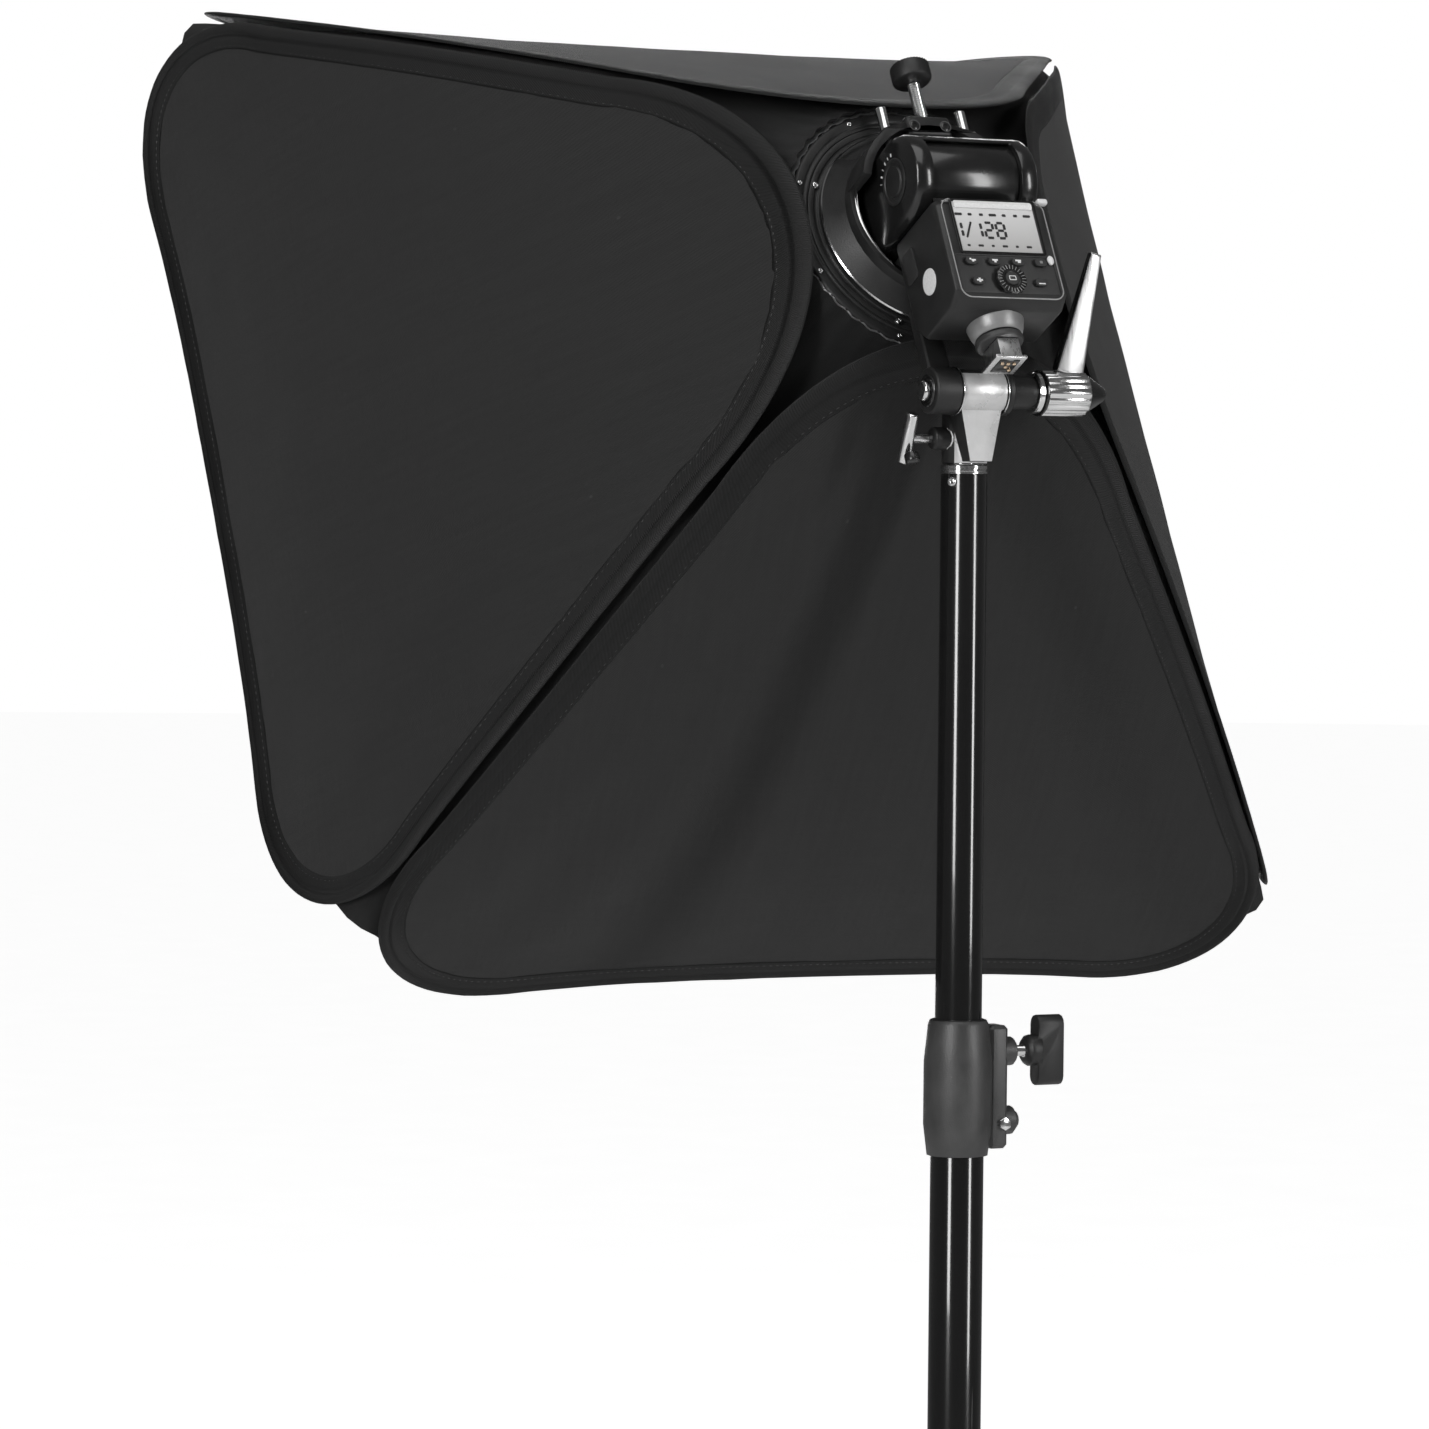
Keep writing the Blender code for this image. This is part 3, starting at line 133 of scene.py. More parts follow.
class Finish:
    # a material on a Principled shader, with one method for each kind of pattern
    def __init__(self, name):
        self.material = bpy.data.materials.new(name)
        self.material.use_nodes = True
        self.tree = self.material.node_tree
        self.shader = self.tree.nodes["Principled BSDF"]

    def node(self, kind, settings=None, sockets=None, output=0):
        made = self.tree.nodes.new(kind)
        for key, value in (settings or {}).items():
            setattr(made, key, value)
        for key, value in (sockets or {}).items():
            if isinstance(value, Value):
                self.tree.links.new(value.socket, made.inputs[key])
            else:
                made.inputs[key].default_value = value
        return Value(self, made.outputs[output])

    def coords(self, source="Object", scale=(1.0, 1.0, 1.0)):
        raw = self.node("ShaderNodeTexCoord", output=source)
        return self.node("ShaderNodeMapping", {}, {"Vector": raw, "Scale": scale})

    def axes(self, source="Object"):
        raw = self.node("ShaderNodeTexCoord", output=source)
        split = self.node("ShaderNodeSeparateXYZ", {}, {"Vector": raw}).socket.node
        return [Value(self, socket) for socket in split.outputs]

    def cloud(self, scale, detail=3.0, source="Object", stretch=(1.0, 1.0, 1.0), rough=0.55):
        inputs = {"Vector": self.coords(source, stretch), "Scale": scale}
        inputs.update({"Detail": detail, "Roughness": rough})
        return self.node("ShaderNodeTexNoise", {}, inputs)

    def cells(self, scale, feature="F1", source="Object"):
        inputs = {"Vector": self.coords(source), "Scale": scale}
        return self.node("ShaderNodeTexVoronoi", {"feature": feature}, inputs)

    def tint(self, factor, first, second):
        settings = {"data_type": "RGBA"}
        return self.node("ShaderNodeMix", settings, {0: factor, 6: first, 7: second}, output=2)

    def relief(self, height, depth, strength=1.0):
        sockets = {"Height": height, "Distance": depth, "Strength": strength}
        bump = self.node("ShaderNodeBump", {}, sockets)
        self.tree.links.new(bump.socket, self.shader.inputs["Normal"])

    def wear(self, **sockets):
        for key, value in sockets.items():
            socket = self.shader.inputs[key.replace("_", " ")]
            if isinstance(value, Value):
                self.tree.links.new(value.socket, socket)
            else:
                socket.default_value = value


def grey(level, warm=0.0):
    return (level * (1 + warm), level, level * (1 - warm), 1.0)


# Cloth finishes follow the cloth's own UV map, in metres
clothLook = {
    "panelDark": grey(0.011), "panelLight": grey(0.020, 0.01), "thread": 0.0009,
    "hemDark": grey(0.0015), "hemLight": grey(0.004), "rib": 0.0011, "lint": grey(0.10),
    "webDark": grey(0.005), "webLight": grey(0.011),
    "silverDark": grey(0.58), "silverLight": grey(0.78, -0.01),
    "whiteDark": grey(0.80, 0.01), "whiteLight": grey(0.88, 0.004), "whiteRib": grey(0.93),
    "whiteThread": 0.0012, "ripstop": 0.006,
}


def plainWeave(f, pitch):
    u, v, w = f.axes("UV")
    turn = 2 * math.pi / pitch
    return (u * turn).sine() * (v * turn).sine()


def makePanelCloth():
    f = Finish("panelNylon")
    weave = plainWeave(f, clothLook["thread"])
    patches = f.cloud(7.0, 4.0, "UV")
    slubs = f.cloud(260.0, 2.0, "UV", (1.0, 0.08, 1.0))
    fineSlubs = f.cloud(260.0, 2.0, "UV", (0.08, 1.0, 1.0))
    fluff = f.cells(75.0, source="UV").between(0.05, 0.09, 1.0, 0.0)
    fluff = fluff * f.cloud(9.0, 2.0, "UV").between(0.58, 0.66)
    shade = patches.between(0.3, 0.7, 0.0, 0.55) + slubs.between(0.35, 0.7, 0.0, 0.3) + weave * 0.10
    base = f.tint(shade, clothLook["panelDark"], clothLook["panelLight"])
    f.wear(Base_Color=f.tint(fluff * 0.5, base, clothLook["lint"]))
    f.wear(Roughness=patches.between(0.3, 0.7, 0.62, 0.80), Sheen_Weight=0.14, Sheen_Roughness=0.45)
    f.wear(Specular_IOR_Level=0.35)
    f.relief(weave * 0.5 + slubs * 0.6 + fineSlubs * 0.6 + patches * 1.5, 0.00022)
    return f.material


def makeHemCloth():
    f = Finish("hemBinding")
    u, v, w = f.axes("UV")
    rib = ((u + v) * (2 * math.pi / clothLook["rib"])).sine()
    rub = f.cloud(40.0, 4.0, "UV", (1.0, 0.4, 1.0))
    base = f.tint(rub.between(0.35, 0.7), clothLook["hemDark"], clothLook["hemLight"])
    f.wear(Base_Color=base, Roughness=rub.between(0.3, 0.7, 0.46, 0.62))
    f.wear(Sheen_Weight=0.02, Sheen_Roughness=0.4)
    f.wear(Specular_IOR_Level=0.4)
    f.relief(rib * 0.5 + rub * 2.0, 0.00022)
    return f.material


def makeWebCloth():
    f = Finish("webNylon")
    weave = plainWeave(f, clothLook["thread"])
    creases = f.cloud(30.0, 4.0, "UV", (1.0, 0.35, 1.0))
    # the colour follows the crease relief and is darker in its hollows: painted shade in the creases
    base = f.tint(creases.between(0.35, 0.7), clothLook["webDark"], clothLook["webLight"])
    f.wear(Base_Color=base, Roughness=0.72, Sheen_Weight=0.08, Sheen_Roughness=0.45)
    f.wear(Specular_IOR_Level=0.35)
    f.relief(weave * 0.4 + creases * 3.0, 0.0003)
    return f.material


def makeSilverCloth():
    f = Finish("silverLining")
    crinkle = f.cells(150.0, "SMOOTH_F1", "UV")
    folds = f.cloud(26.0, 4.0, "UV")
    # the colour follows the fold relief and is darker in its hollows: painted shade in the folds
    base = f.tint(folds.between(0.3, 0.7), clothLook["silverDark"], clothLook["silverLight"])
    f.wear(Base_Color=base, Metallic=0.85, Roughness=folds.between(0.3, 0.7, 0.26, 0.42))
    f.relief(crinkle * 1.0 + folds * 2.0, 0.0006)
    return f.material


def makeDiffuserCloth():
    f = Finish("diffuserNylon")
    u, v, w = f.axes("UV")
    weave = plainWeave(f, clothLook["whiteThread"])
    turn = math.pi / clothLook["ripstop"]
    ripstop = (u * turn).sine().size().between(0.0, 0.10, 1.0, 0.0)
    ripstop = ripstop + (v * turn).sine().size().between(0.0, 0.10, 1.0, 0.0)
    soft = f.cloud(6.0, 3.0, "UV")
    base = f.tint(soft.between(0.3, 0.7), clothLook["whiteDark"], clothLook["whiteLight"])
    ribbed = f.tint(ripstop * 0.25, base, clothLook["whiteRib"])
    f.wear(Base_Color=ribbed, Roughness=0.72, Sheen_Weight=0.1)
    f.relief(weave * 0.4 + ripstop * 0.6 + soft, 0.00018)
    return f.material


def makeHookTape():
    f = Finish("hookTape")
    pile = f.cloud(900.0, 2.0)
    f.wear(Base_Color=f.tint(pile, grey(0.006), grey(0.03)), Roughness=0.9, Sheen_Weight=0.4)
    f.relief(pile, 0.0008)
    return f.material


def makeStitchThread():
    f = Finish("stitchThread")
    twist = f.cloud(2400.0, 2.0)
    f.wear(Base_Color=f.tint(twist, grey(0.012), grey(0.035)), Roughness=0.6, Sheen_Weight=0.2)
    f.relief(twist, 0.0001)
    return f.material


# Hard finishes follow object coordinates
def makeTubeGloss():
    f = Finish("tubeBlackAnodised")
    streaks = f.cloud(70.0, 3.0, stretch=(1.0, 1.0, 0.02))
    smears = f.cloud(14.0, 3.0, stretch=(1.0, 1.0, 0.3))
    nicks = f.cloud(420.0, 1.0, stretch=(1.0, 1.0, 0.03)).between(0.74, 0.78)
    base = f.tint(streaks, grey(0.004), grey(0.008))
    f.wear(Base_Color=f.tint(nicks * 0.35, base, grey(0.12)))
    f.wear(Roughness=smears.between(0.3, 0.7, 0.10, 0.22) + nicks * 0.2)
    f.wear(Coat_Weight=0.6, Coat_Roughness=0.06)
    f.relief(streaks, 0.00004)
    return f.material


def makeCastGrey(name, dark, light, rough=0.36):
    f = Finish(name)
    peel = f.cloud(1400.0, 2.0)
    mottle = f.cloud(60.0, 4.0)
    scuffs = f.cloud(300.0, 3.0, stretch=(1.0, 0.2, 1.0)).between(0.70, 0.76)
    base = f.tint(mottle.between(0.3, 0.7), grey(dark), grey(light))
    f.wear(Base_Color=f.tint(scuffs * 0.35, base, grey(light * 3 + 0.04)), Metallic=0.35)
    f.wear(Roughness=mottle.between(0.3, 0.7, rough, rough + 0.12) - scuffs * 0.08)
    f.relief(peel + mottle * 0.5, 0.00012)
    return f.material


def makePlastic(name, dark, light, rough, grain=0.00005, coat=0.0):
    f = Finish(name)
    spark = f.cloud(3200.0, 2.0)
    rub = f.cloud(45.0, 4.0)
    dust = f.cells(240.0).between(0.04, 0.07, 1.0, 0.0) * f.cloud(30.0, 2.0).between(0.6, 0.68)
    base = f.tint(rub.between(0.3, 0.7), grey(dark), grey(light))
    f.wear(Base_Color=f.tint(dust * 0.3, base, grey(0.12)), Coat_Weight=coat, Coat_Roughness=0.12)
    f.wear(Roughness=rub.between(0.3, 0.7, rough, rough + 0.12))
    f.relief(spark + rub * 0.3, grain)
    return f.material


def makeBright(name, level, rough, lines=(1.0, 1.0, 1.0), warm=0.0):
    f = Finish(name)
    drawn = f.cloud(520.0, 3.0, stretch=lines)
    haze = f.cloud(40.0, 3.0)
    base = f.tint(haze.between(0.3, 0.7), grey(level * 0.86, warm), grey(level, warm))
    f.wear(Base_Color=base, Metallic=1.0, Roughness=drawn.between(0.3, 0.7, rough, rough + 0.12))
    f.relief(drawn + haze * 0.4, 0.000006)
    return f.material


def makeRubber():
    f = Finish("footRubber")
    skin = f.cloud(700.0, 3.0)
    scuff = f.cloud(50.0, 4.0)
    base = f.tint(scuff.between(0.4, 0.75), grey(0.010), grey(0.035))
    f.wear(Base_Color=base, Roughness=scuff.between(0.3, 0.7, 0.65, 0.85))
    f.relief(skin, 0.00015)
    return f.material


def makeLens():
    f = Finish("ribbedLens")
    x, y, z = f.axes()
    ribs = (z * (2 * math.pi / 0.0022)).sine()
    cast = f.cloud(60.0, 2.0)
    f.wear(Base_Color=f.tint(cast, grey(0.62), grey(0.80, -0.02)), Roughness=0.08, Coat_Weight=0.8)
    f.wear(Transmission_Weight=0.35, IOR=1.49)
    f.relief(ribs, 0.0004)
    return f.material


def makeDisplayGlass():
    f = Finish("displayGlass")
    x, y, z = f.axes()
    low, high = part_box("display")
    fall = z.between(low.z, high.z)
    cell = 2 * math.pi / 0.0006
    cellGrid = (x * cell).sine() * (z * cell).sine()
    # grey, lighter towards the top
    pale = f.tint(fall, grey(0.36, 0.01), grey(0.60, 0.0))
    f.wear(Base_Color=f.tint(cellGrid.between(0.0, 1.0, 0.0, 0.12), pale, grey(0.25)))
    smears = f.cloud(50.0, 3.0)
    f.wear(Roughness=smears.between(0.3, 0.7, 0.10, 0.2), Coat_Weight=1.0, Coat_Roughness=0.04)
    # the same grey also feeds Emission, so the display glows: a painted glow, as it is no lamp
    f.wear(Emission_Color=pale, Emission_Strength=0.25)
    return f.material


def makePrint(name, level, rough=0.5):
    f = Finish(name)
    ink = f.cloud(900.0, 2.0)
    f.wear(Base_Color=f.tint(ink.between(0.3, 0.8), grey(level), grey(level * 0.85)), Roughness=rough)
    f.relief(ink, 0.00002)
    return f.material


panelNylon = makePanelCloth()
hemBinding = makeHemCloth()
webNylon = makeWebCloth()
silverLining = makeSilverCloth()
diffuserNylon = makeDiffuserCloth()
hookTape = makeHookTape()
stitchThread = makeStitchThread()
tubeBlack = makeTubeGloss()
castDark = makeCastGrey("castDarkGrey", 0.020, 0.032)
castMid = makeCastGrey("castMidGrey", 0.060, 0.085, 0.34)
satinGrey = makeCastGrey("satinGreyFace", 0.26, 0.36, 0.30)
# pale satin, used only on the socket's front face: a machined flat, made pale as a painted highlight
satinBright = makeCastGrey("satinBrightFace", 0.62, 0.76, 0.24)
grainBlack = makePlastic("grainedBlack", 0.012, 0.020, 0.36, 0.00007)
smoothBlack = makePlastic("smoothBlack", 0.007, 0.012, 0.16, 0.00001, 0.4)
keyRubber = makePlastic("keyRubber", 0.018, 0.030, 0.55, 0.00005)
nickel = makeBright("polishedNickel", 0.82, 0.08)
brushedSteel = makeBright("brushedSteel", 0.86, 0.24, (1.0, 1.0, 0.04))
goldContact = makeBright("contactGold", 0.72, 0.16, warm=0.28)
footRubber = makeRubber()
ribbedLens = makeLens()
displayGlass = makeDisplayGlass()
segmentInk = makePrint("segmentInk", 0.02)
markWhite = makePrint("markWhite", 0.80)
badgeWhite = makePrint("badgeWhite", 0.86, 0.25)
print("finishes ready:", len(bpy.data.materials))


def settle(piece, body, finish=None, replaced=(), place=None):
    clearSelection()
    if place is not None:
        piece.data.transform(place)
    if finish is not None:
        piece.data.materials.clear()
        piece.data.materials.append(finish)
    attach(piece, body)
    if replaced:
        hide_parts(*replaced)
    return piece


def smoothByAngle(piece, degrees=35):
    makeActive(piece)
    bpy.ops.object.shade_smooth_by_angle(angle=math.radians(degrees))
    clearSelection()


def applyBevel(piece, width, segments=2, degrees=31):
    makeActive(piece)
    bevel = piece.modifiers.new("edges", "BEVEL")
    bevel.width = width
    bevel.segments = segments
    bevel.limit_method = "ANGLE"
    bevel.angle_limit = math.radians(degrees)
    bpy.ops.object.modifier_apply(modifier=bevel.name)


def turned(name, profile, sides=64, closed=False, edge=0.0):
    # profile: radius and height, one ring extruded from the last
    clearSelection()
    radius, height = profile[0]
    bpy.ops.mesh.primitive_circle_add(vertices=sides, radius=radius, location=(0, 0, height))
    piece = bpy.context.object
    piece.name = name
    bpy.ops.object.transform_apply(location=True, rotation=True, scale=True)
    bpy.ops.object.mode_set(mode="EDIT")
    bpy.ops.mesh.select_all(action="SELECT")
    for newRadius, newHeight in profile[1:]:
        rise = newHeight - height
        bpy.ops.mesh.extrude_edges_move(TRANSFORM_OT_translate={"value": (0, 0, rise)})
        ratio = newRadius / radius
        bpy.ops.transform.resize(value=(ratio, ratio, 1), center_override=(0, 0, newHeight))
        radius, height = newRadius, newHeight
    bpy.ops.mesh.select_all(action="DESELECT")
    bpy.ops.mesh.select_mode(type="EDGE")
    bpy.ops.mesh.select_non_manifold()
    if closed:
        bpy.ops.mesh.bridge_edge_loops()
    else:
        bpy.ops.mesh.fill_holes(sides=0)
    bpy.ops.mesh.select_all(action="SELECT")
    bpy.ops.mesh.normals_make_consistent(inside=False)
    bpy.ops.object.mode_set(mode="OBJECT")
    if edge:
        applyBevel(piece, edge)
    smoothByAngle(piece)
    return piece


def slab(name, size, centre, edge=0.0005, segments=2):
    clearSelection()
    bpy.ops.mesh.primitive_cube_add(size=1, location=centre, scale=size)
    piece = bpy.context.object
    piece.name = name
    bpy.ops.object.transform_apply(location=True, rotation=True, scale=True)
    bpy.ops.object.mode_set(mode="EDIT")
    bpy.ops.mesh.select_all(action="SELECT")
    bpy.ops.mesh.bevel(offset=edge, segments=segments, affect="EDGES")
    bpy.ops.object.mode_set(mode="OBJECT")
    smoothByAngle(piece)
    return piece


def plate(name, halfWidth, halfHeight, corner, thick, line=0.0):
    # a flat rounded plate in x and z that faces +y; with line it is only a frame that wide
    clearSelection()
    bpy.ops.mesh.primitive_plane_add(size=2, rotation=(math.radians(-90), 0, 0), scale=(1, 1, 1))
    piece = bpy.context.object
    piece.name = name
    piece.scale = (halfWidth, halfHeight, 1)
    bpy.ops.object.transform_apply(location=True, rotation=True, scale=True)
    bpy.ops.object.mode_set(mode="EDIT")
    bpy.ops.mesh.select_all(action="SELECT")
    bpy.ops.mesh.bevel(offset=corner, segments=8, affect="VERTICES")
    if line:
        bpy.ops.mesh.select_all(action="SELECT")
        bpy.ops.mesh.inset(thickness=line, depth=0)
        bpy.ops.mesh.delete(type="FACE")
    bpy.ops.mesh.select_all(action="SELECT")
    bpy.ops.mesh.extrude_region_move(TRANSFORM_OT_translate={"value": (0, thick, 0)})
    bpy.ops.mesh.select_all(action="SELECT")
    bpy.ops.mesh.normals_make_consistent(inside=False)
    bpy.ops.object.mode_set(mode="OBJECT")
    applyBevel(piece, min(thick, line or thick) * 0.3, 2)
    smoothByAngle(piece)
    return piece


def joined(name, parts):
    clearSelection()
    for part in parts:
        part.select_set(True)
    bpy.context.view_layer.objects.active = parts[0]
    bpy.ops.object.join()
    parts[0].name = name
    clearSelection()
    return parts[0]


def settleCopies(model, finish, spots):
    # one modelled piece copied to each spot's name, body and place, each copy with its own mesh
    for name, body, place in spots:
        twin = bpy.data.objects.new(name, model.data.copy())
        bpy.context.scene.collection.objects.link(twin)
        settle(twin, body, finish, place=place)
    bpy.data.objects.remove(model)


def refine(node, name, finish, edge, second=None, where=None):
    # a merged copy of a CAD solid, its edges rounded; where(point, normal) picks the second finish
    piece = bpy.data.objects.new(name, nodes[node].data.copy())
    bpy.context.scene.collection.objects.link(piece)
    makeActive(piece)
    bpy.ops.object.mode_set(mode="EDIT")
    bpy.ops.mesh.select_all(action="SELECT")
    bpy.ops.mesh.remove_doubles(threshold=0.00001)
    bpy.ops.mesh.dissolve_limited(angle_limit=math.radians(1.0))
    bpy.ops.object.mode_set(mode="OBJECT")
    bpy.ops.mesh.customdata_custom_splitnormals_clear()
    applyBevel(piece, edge)
    smoothByAngle(piece)
    piece.data.materials.clear()
    piece.data.materials.append(finish)
    for face in piece.data.polygons:
        face.material_index = 0
    if second is not None:
        piece.data.materials.append(second)
        for face in piece.data.polygons:
            if where(face.center, face.normal):
                face.material_index = 1
    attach(piece, nodes[node]["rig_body"])
    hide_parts(node)
    return piece


# Camera, light and floor
viewFrom = {
    "stand": (1.396, 2.588, 1.308), "toward": (-0.4347, -0.9001, -0.0300), "roll": 0.0093,
    "lens": 139.0, "sensor": 36.0,
}


def setCamera():
    data = bpy.data.cameras.new("studioCamera")
    data.lens = viewFrom["lens"]
    data.sensor_width = viewFrom["sensor"]
    data.clip_end = 200
    camera = bpy.data.objects.new("studioCamera", data)
    bpy.context.scene.collection.objects.link(camera)
    ahead = Vector(viewFrom["toward"]).normalized()
    level = ahead.cross(Vector((0, 0, 1))).normalized()
    rise = level.cross(ahead)
    right = (level + rise * viewFrom["roll"]).normalized()
    up = right.cross(ahead)
    camera.matrix_world = Matrix.Translation(viewFrom["stand"]) @ Matrix((
        (right.x, up.x, -ahead.x),
        (right.y, up.y, -ahead.y),
        (right.z, up.z, -ahead.z),
    )).to_4x4()
    bpy.context.scene.camera = camera


lampsAim = (0, 0, 1.2)
lamps = [
    {"name": "keyLeft", "at": (3.6, 2.2, 2.6), "size": (0.9, 2.6), "power": 92},
    {"name": "fillRight", "at": (-2.2, 3.6, 2.2), "size": (0.7, 2.4), "power": 64},
    {"name": "topSoft", "at": (0.4, 0.8, 3.8), "size": (2.2, 2.2), "power": 24},
    {"name": "frontLow", "at": (-1.2, -3.4, 1.8), "size": (2.0, 2.0), "power": 60},
]


def setLights():
    for lamp in lamps:
        data = bpy.data.lights.new(lamp["name"], "AREA")
        data.shape = "RECTANGLE"
        data.size, data.size_y = lamp["size"]
        data.energy = lamp["power"]
        light = bpy.data.objects.new(lamp["name"], data)
        bpy.context.scene.collection.objects.link(light)
        light.location = lamp["at"]
        aim = Vector(lampsAim) - light.location
        light.rotation_euler = aim.to_track_quat("-Z", "Y").to_euler()
    world = bpy.data.worlds.new("studioRoom")
    world.use_nodes = True
    bpy.context.scene.world = world
    tree = world.node_tree
    back = tree.nodes["Background"]
    back.inputs["Color"].default_value = (1.0, 1.0, 1.0, 1.0)
    path = tree.nodes.new("ShaderNodeLightPath")
    glow = tree.nodes.new("ShaderNodeMapRange")
    glow.inputs["To Min"].default_value = 0.11  # what lights the object
    glow.inputs["To Max"].default_value = 1.0  # what stands behind it
    tree.links.new(path.outputs["Is Camera Ray"], glow.inputs["Value"])
    tree.links.new(glow.outputs["Result"], back.inputs["Strength"])
    bpy.context.scene.view_settings.view_transform = "Standard"


def makeFloor():
    clearSelection()
    bpy.ops.mesh.primitive_circle_add(vertices=96, radius=40, fill_type="NGON")
    floor = bpy.context.object
    floor.name = "studioFloor"
    f = Finish("paperFloor")
    fibre = f.cloud(6.0, 4.0)
    paper = f.tint(fibre, grey(0.90), grey(0.93))
    seen = f.node("ShaderNodeLightPath")  # its first output is the camera ray
    glow = f.tint(seen, grey(0.0), paper)
    f.wear(Base_Color=paper, Roughness=0.9, Emission_Color=glow, Emission_Strength=0.95)
    f.relief(f.cloud(120.0, 3.0), 0.0002)
    floor.data.materials.append(f.material)


setCamera()
setLights()
makeFloor()
print("camera, light and floor set")


# The softbox: four wire loops in hems, a taut sheet in each, and webs between them
loop = {
    "topLift": 0.38,  # how much more the top sheet flares than the others
    "sideHalf": 0.300, "depth": 0.360, "slant": math.radians(35.2), "length": 0.393, "halfWidth": 0.272,
    "corner": 0.092, "apex": 0.154, "bulge": 0.008, "bow": 0.050, "flare": 0.017, "flareFade": 0.15,
    "baseSteps": 16, "cornerSteps": 28, "edgeSteps": 24, "apexSteps": 24,
}
hem = {
    "wireInset": 0.0024, "noseRadius": 0.0034, "width": 0.0150, "edgeThick": 0.0011,
    "gather": 0.00035, "swell": 0.0004, "outermost": -0.0011,
    "stitchInset": 0.0128, "stitchPitch": 0.0042, "stitchLength": 0.0027, "stitchHalf": 0.00028,
    "stitchLevel": 0.0014, "stitchSink": 0.0003, "stitchRise": 0.00035,
}
taut = {
    "inset": 0.0125, "rows": 60, "columns": 56, "thick": 0.0006, "fold": 0.0018, "ripple": 0.0006,
    "pucker": 0.0007, "puckerReach": 0.018, "foldFrom": 0.05, "bottomFold": 1.8,
}


def loopCircles(inset):
    corner = (loop["halfWidth"] - loop["corner"], loop["corner"])
    apex = (0.0, loop["length"] - loop["apex"])
    across = apex[0] - corner[0]
    along = apex[1] - corner[1]
    turn = math.asin((loop["apex"] - loop["corner"]) / math.hypot(across, along))
    normal = math.atan2(along, across) - math.pi / 2 - turn
    return corner, loop["corner"] - inset, apex, loop["apex"] - inset, normal


def loopOutline(inset):
    corner, cornerRadius, apex, apexRadius, normal = loopCircles(inset)
    half = [(corner[0] * k / loop["baseSteps"], inset) for k in range(loop["baseSteps"])]
    for k in range(loop["cornerSteps"] + 1):
        angle = -math.pi / 2 + (normal + math.pi / 2) * k / loop["cornerSteps"]
        across = corner[0] + cornerRadius * math.cos(angle)
        half.append((across, corner[1] + cornerRadius * math.sin(angle)))
    first = half[-1]
    last = (apexRadius * math.cos(normal), apex[1] + apexRadius * math.sin(normal))
    for k in range(1, loop["edgeSteps"]):
        share = k / loop["edgeSteps"]
        across = first[0] + (last[0] - first[0]) * share + loop["bulge"] * math.sin(math.pi * share)
        half.append((across, first[1] + (last[1] - first[1]) * share))
    for k in range(loop["apexSteps"] + 1):
        angle = normal + (math.pi / 2 - normal) * k / loop["apexSteps"]
        half.append((apexRadius * math.cos(angle), apex[1] + apexRadius * math.sin(angle)))
    return half + [(-across, along) for across, along in half[-2:0:-1]]


def halfWidth(along, inset):
    corner, cornerRadius, apex, apexRadius, normal = loopCircles(inset)
    start = corner[1] + cornerRadius * math.sin(normal)
    end = apex[1] + apexRadius * math.sin(normal)
    if along <= start:
        return corner[0] + math.sqrt(max(0.0, cornerRadius**2 - (along - corner[1]) ** 2))
    if along >= end:
        return math.sqrt(max(0.0, apexRadius**2 - (along - apex[1]) ** 2))
    share = (along - start) / (end - start)
    first = corner[0] + cornerRadius * math.cos(normal)
    last = apexRadius * math.cos(normal)
    return first + (last - first) * share + loop["bulge"] * math.sin(math.pi * share)


def flareAt(across, along):
    # the front corners curl outwards
    fade = math.exp(-max(along, 0.0) / loop["flareFade"])
    return loop["flare"] * (abs(across) / loop["halfWidth"]) ** 3 * fade


def slantPoint(across, along, out=0.0):
    # how far out and forward a point of a sheet's middle line is
    lift = loop["bow"] * math.sin(math.pi * min(max(along / loop["length"], 0.0), 1.0)) + out
    reach = loop["sideHalf"] - along * math.sin(loop["slant"]) + lift * math.cos(loop["slant"])
    forward = loop["depth"] - along * math.cos(loop["slant"]) + lift * math.sin(loop["slant"])
    return reach + flareAt(across, along), forward


def panelPoint(side, across, along, out=0.0):
    reach, forward = slantPoint(across, along, out)
    if side == "top":
        reach += loop["topLift"] * flareAt(across, along)
    local = {
        "left": (reach, -forward, across), "right": (-reach, -forward, across),
        "top": (across, -forward, reach), "bottom": (across, -forward, -reach),
    }[side]
    return headPlace @ Vector(local)


def meshPiece(name, rings, uvs, closedAcross, closedAlong, flip=False):
    # a sheet from rows of points, with each point's place on the flat cloth as its UV
    bm = bmesh.new()
    layer = bm.loops.layers.uv.new("cloth")
    grid = [[bm.verts.new(point) for point in ring] for ring in rings]
    rowCount = len(grid)
    columnCount = len(grid[0])
    for i in range(rowCount if closedAlong else rowCount - 1):
        for j in range(columnCount if closedAcross else columnCount - 1):
            i2 = (i + 1) % rowCount
            j2 = (j + 1) % columnCount
            corners = [(i, j), (i, j2), (i2, j2), (i2, j)]
            if flip:
                corners.reverse()
            face = bm.faces.new([grid[a][b] for a, b in corners])
            face.smooth = True
            for vertexLoop, (a, b) in zip(face.loops, corners):
                u, v = uvs[a][b]
                if a == 0 and i == rowCount - 1:
                    v = uvs[-1][b][1] + (uvs[-1][b][1] - uvs[-2][b][1])
                if b == 0 and j == columnCount - 1:
                    u = uvs[a][-1][0] + (uvs[a][-1][0] - uvs[a][-2][0])
                vertexLoop[layer].uv = (u, v)
    mesh = bpy.data.meshes.new(name)
    bm.to_mesh(mesh)
    bm.free()
    piece = bpy.data.objects.new(name, mesh)
    bpy.context.scene.collection.objects.link(piece)
    return piece


def faceOutwards(piece):
    makeActive(piece)
    bpy.ops.object.mode_set(mode="EDIT")
    bpy.ops.mesh.select_all(action="SELECT")
    bpy.ops.mesh.normals_make_consistent(inside=False)
    bpy.ops.object.mode_set(mode="OBJECT")


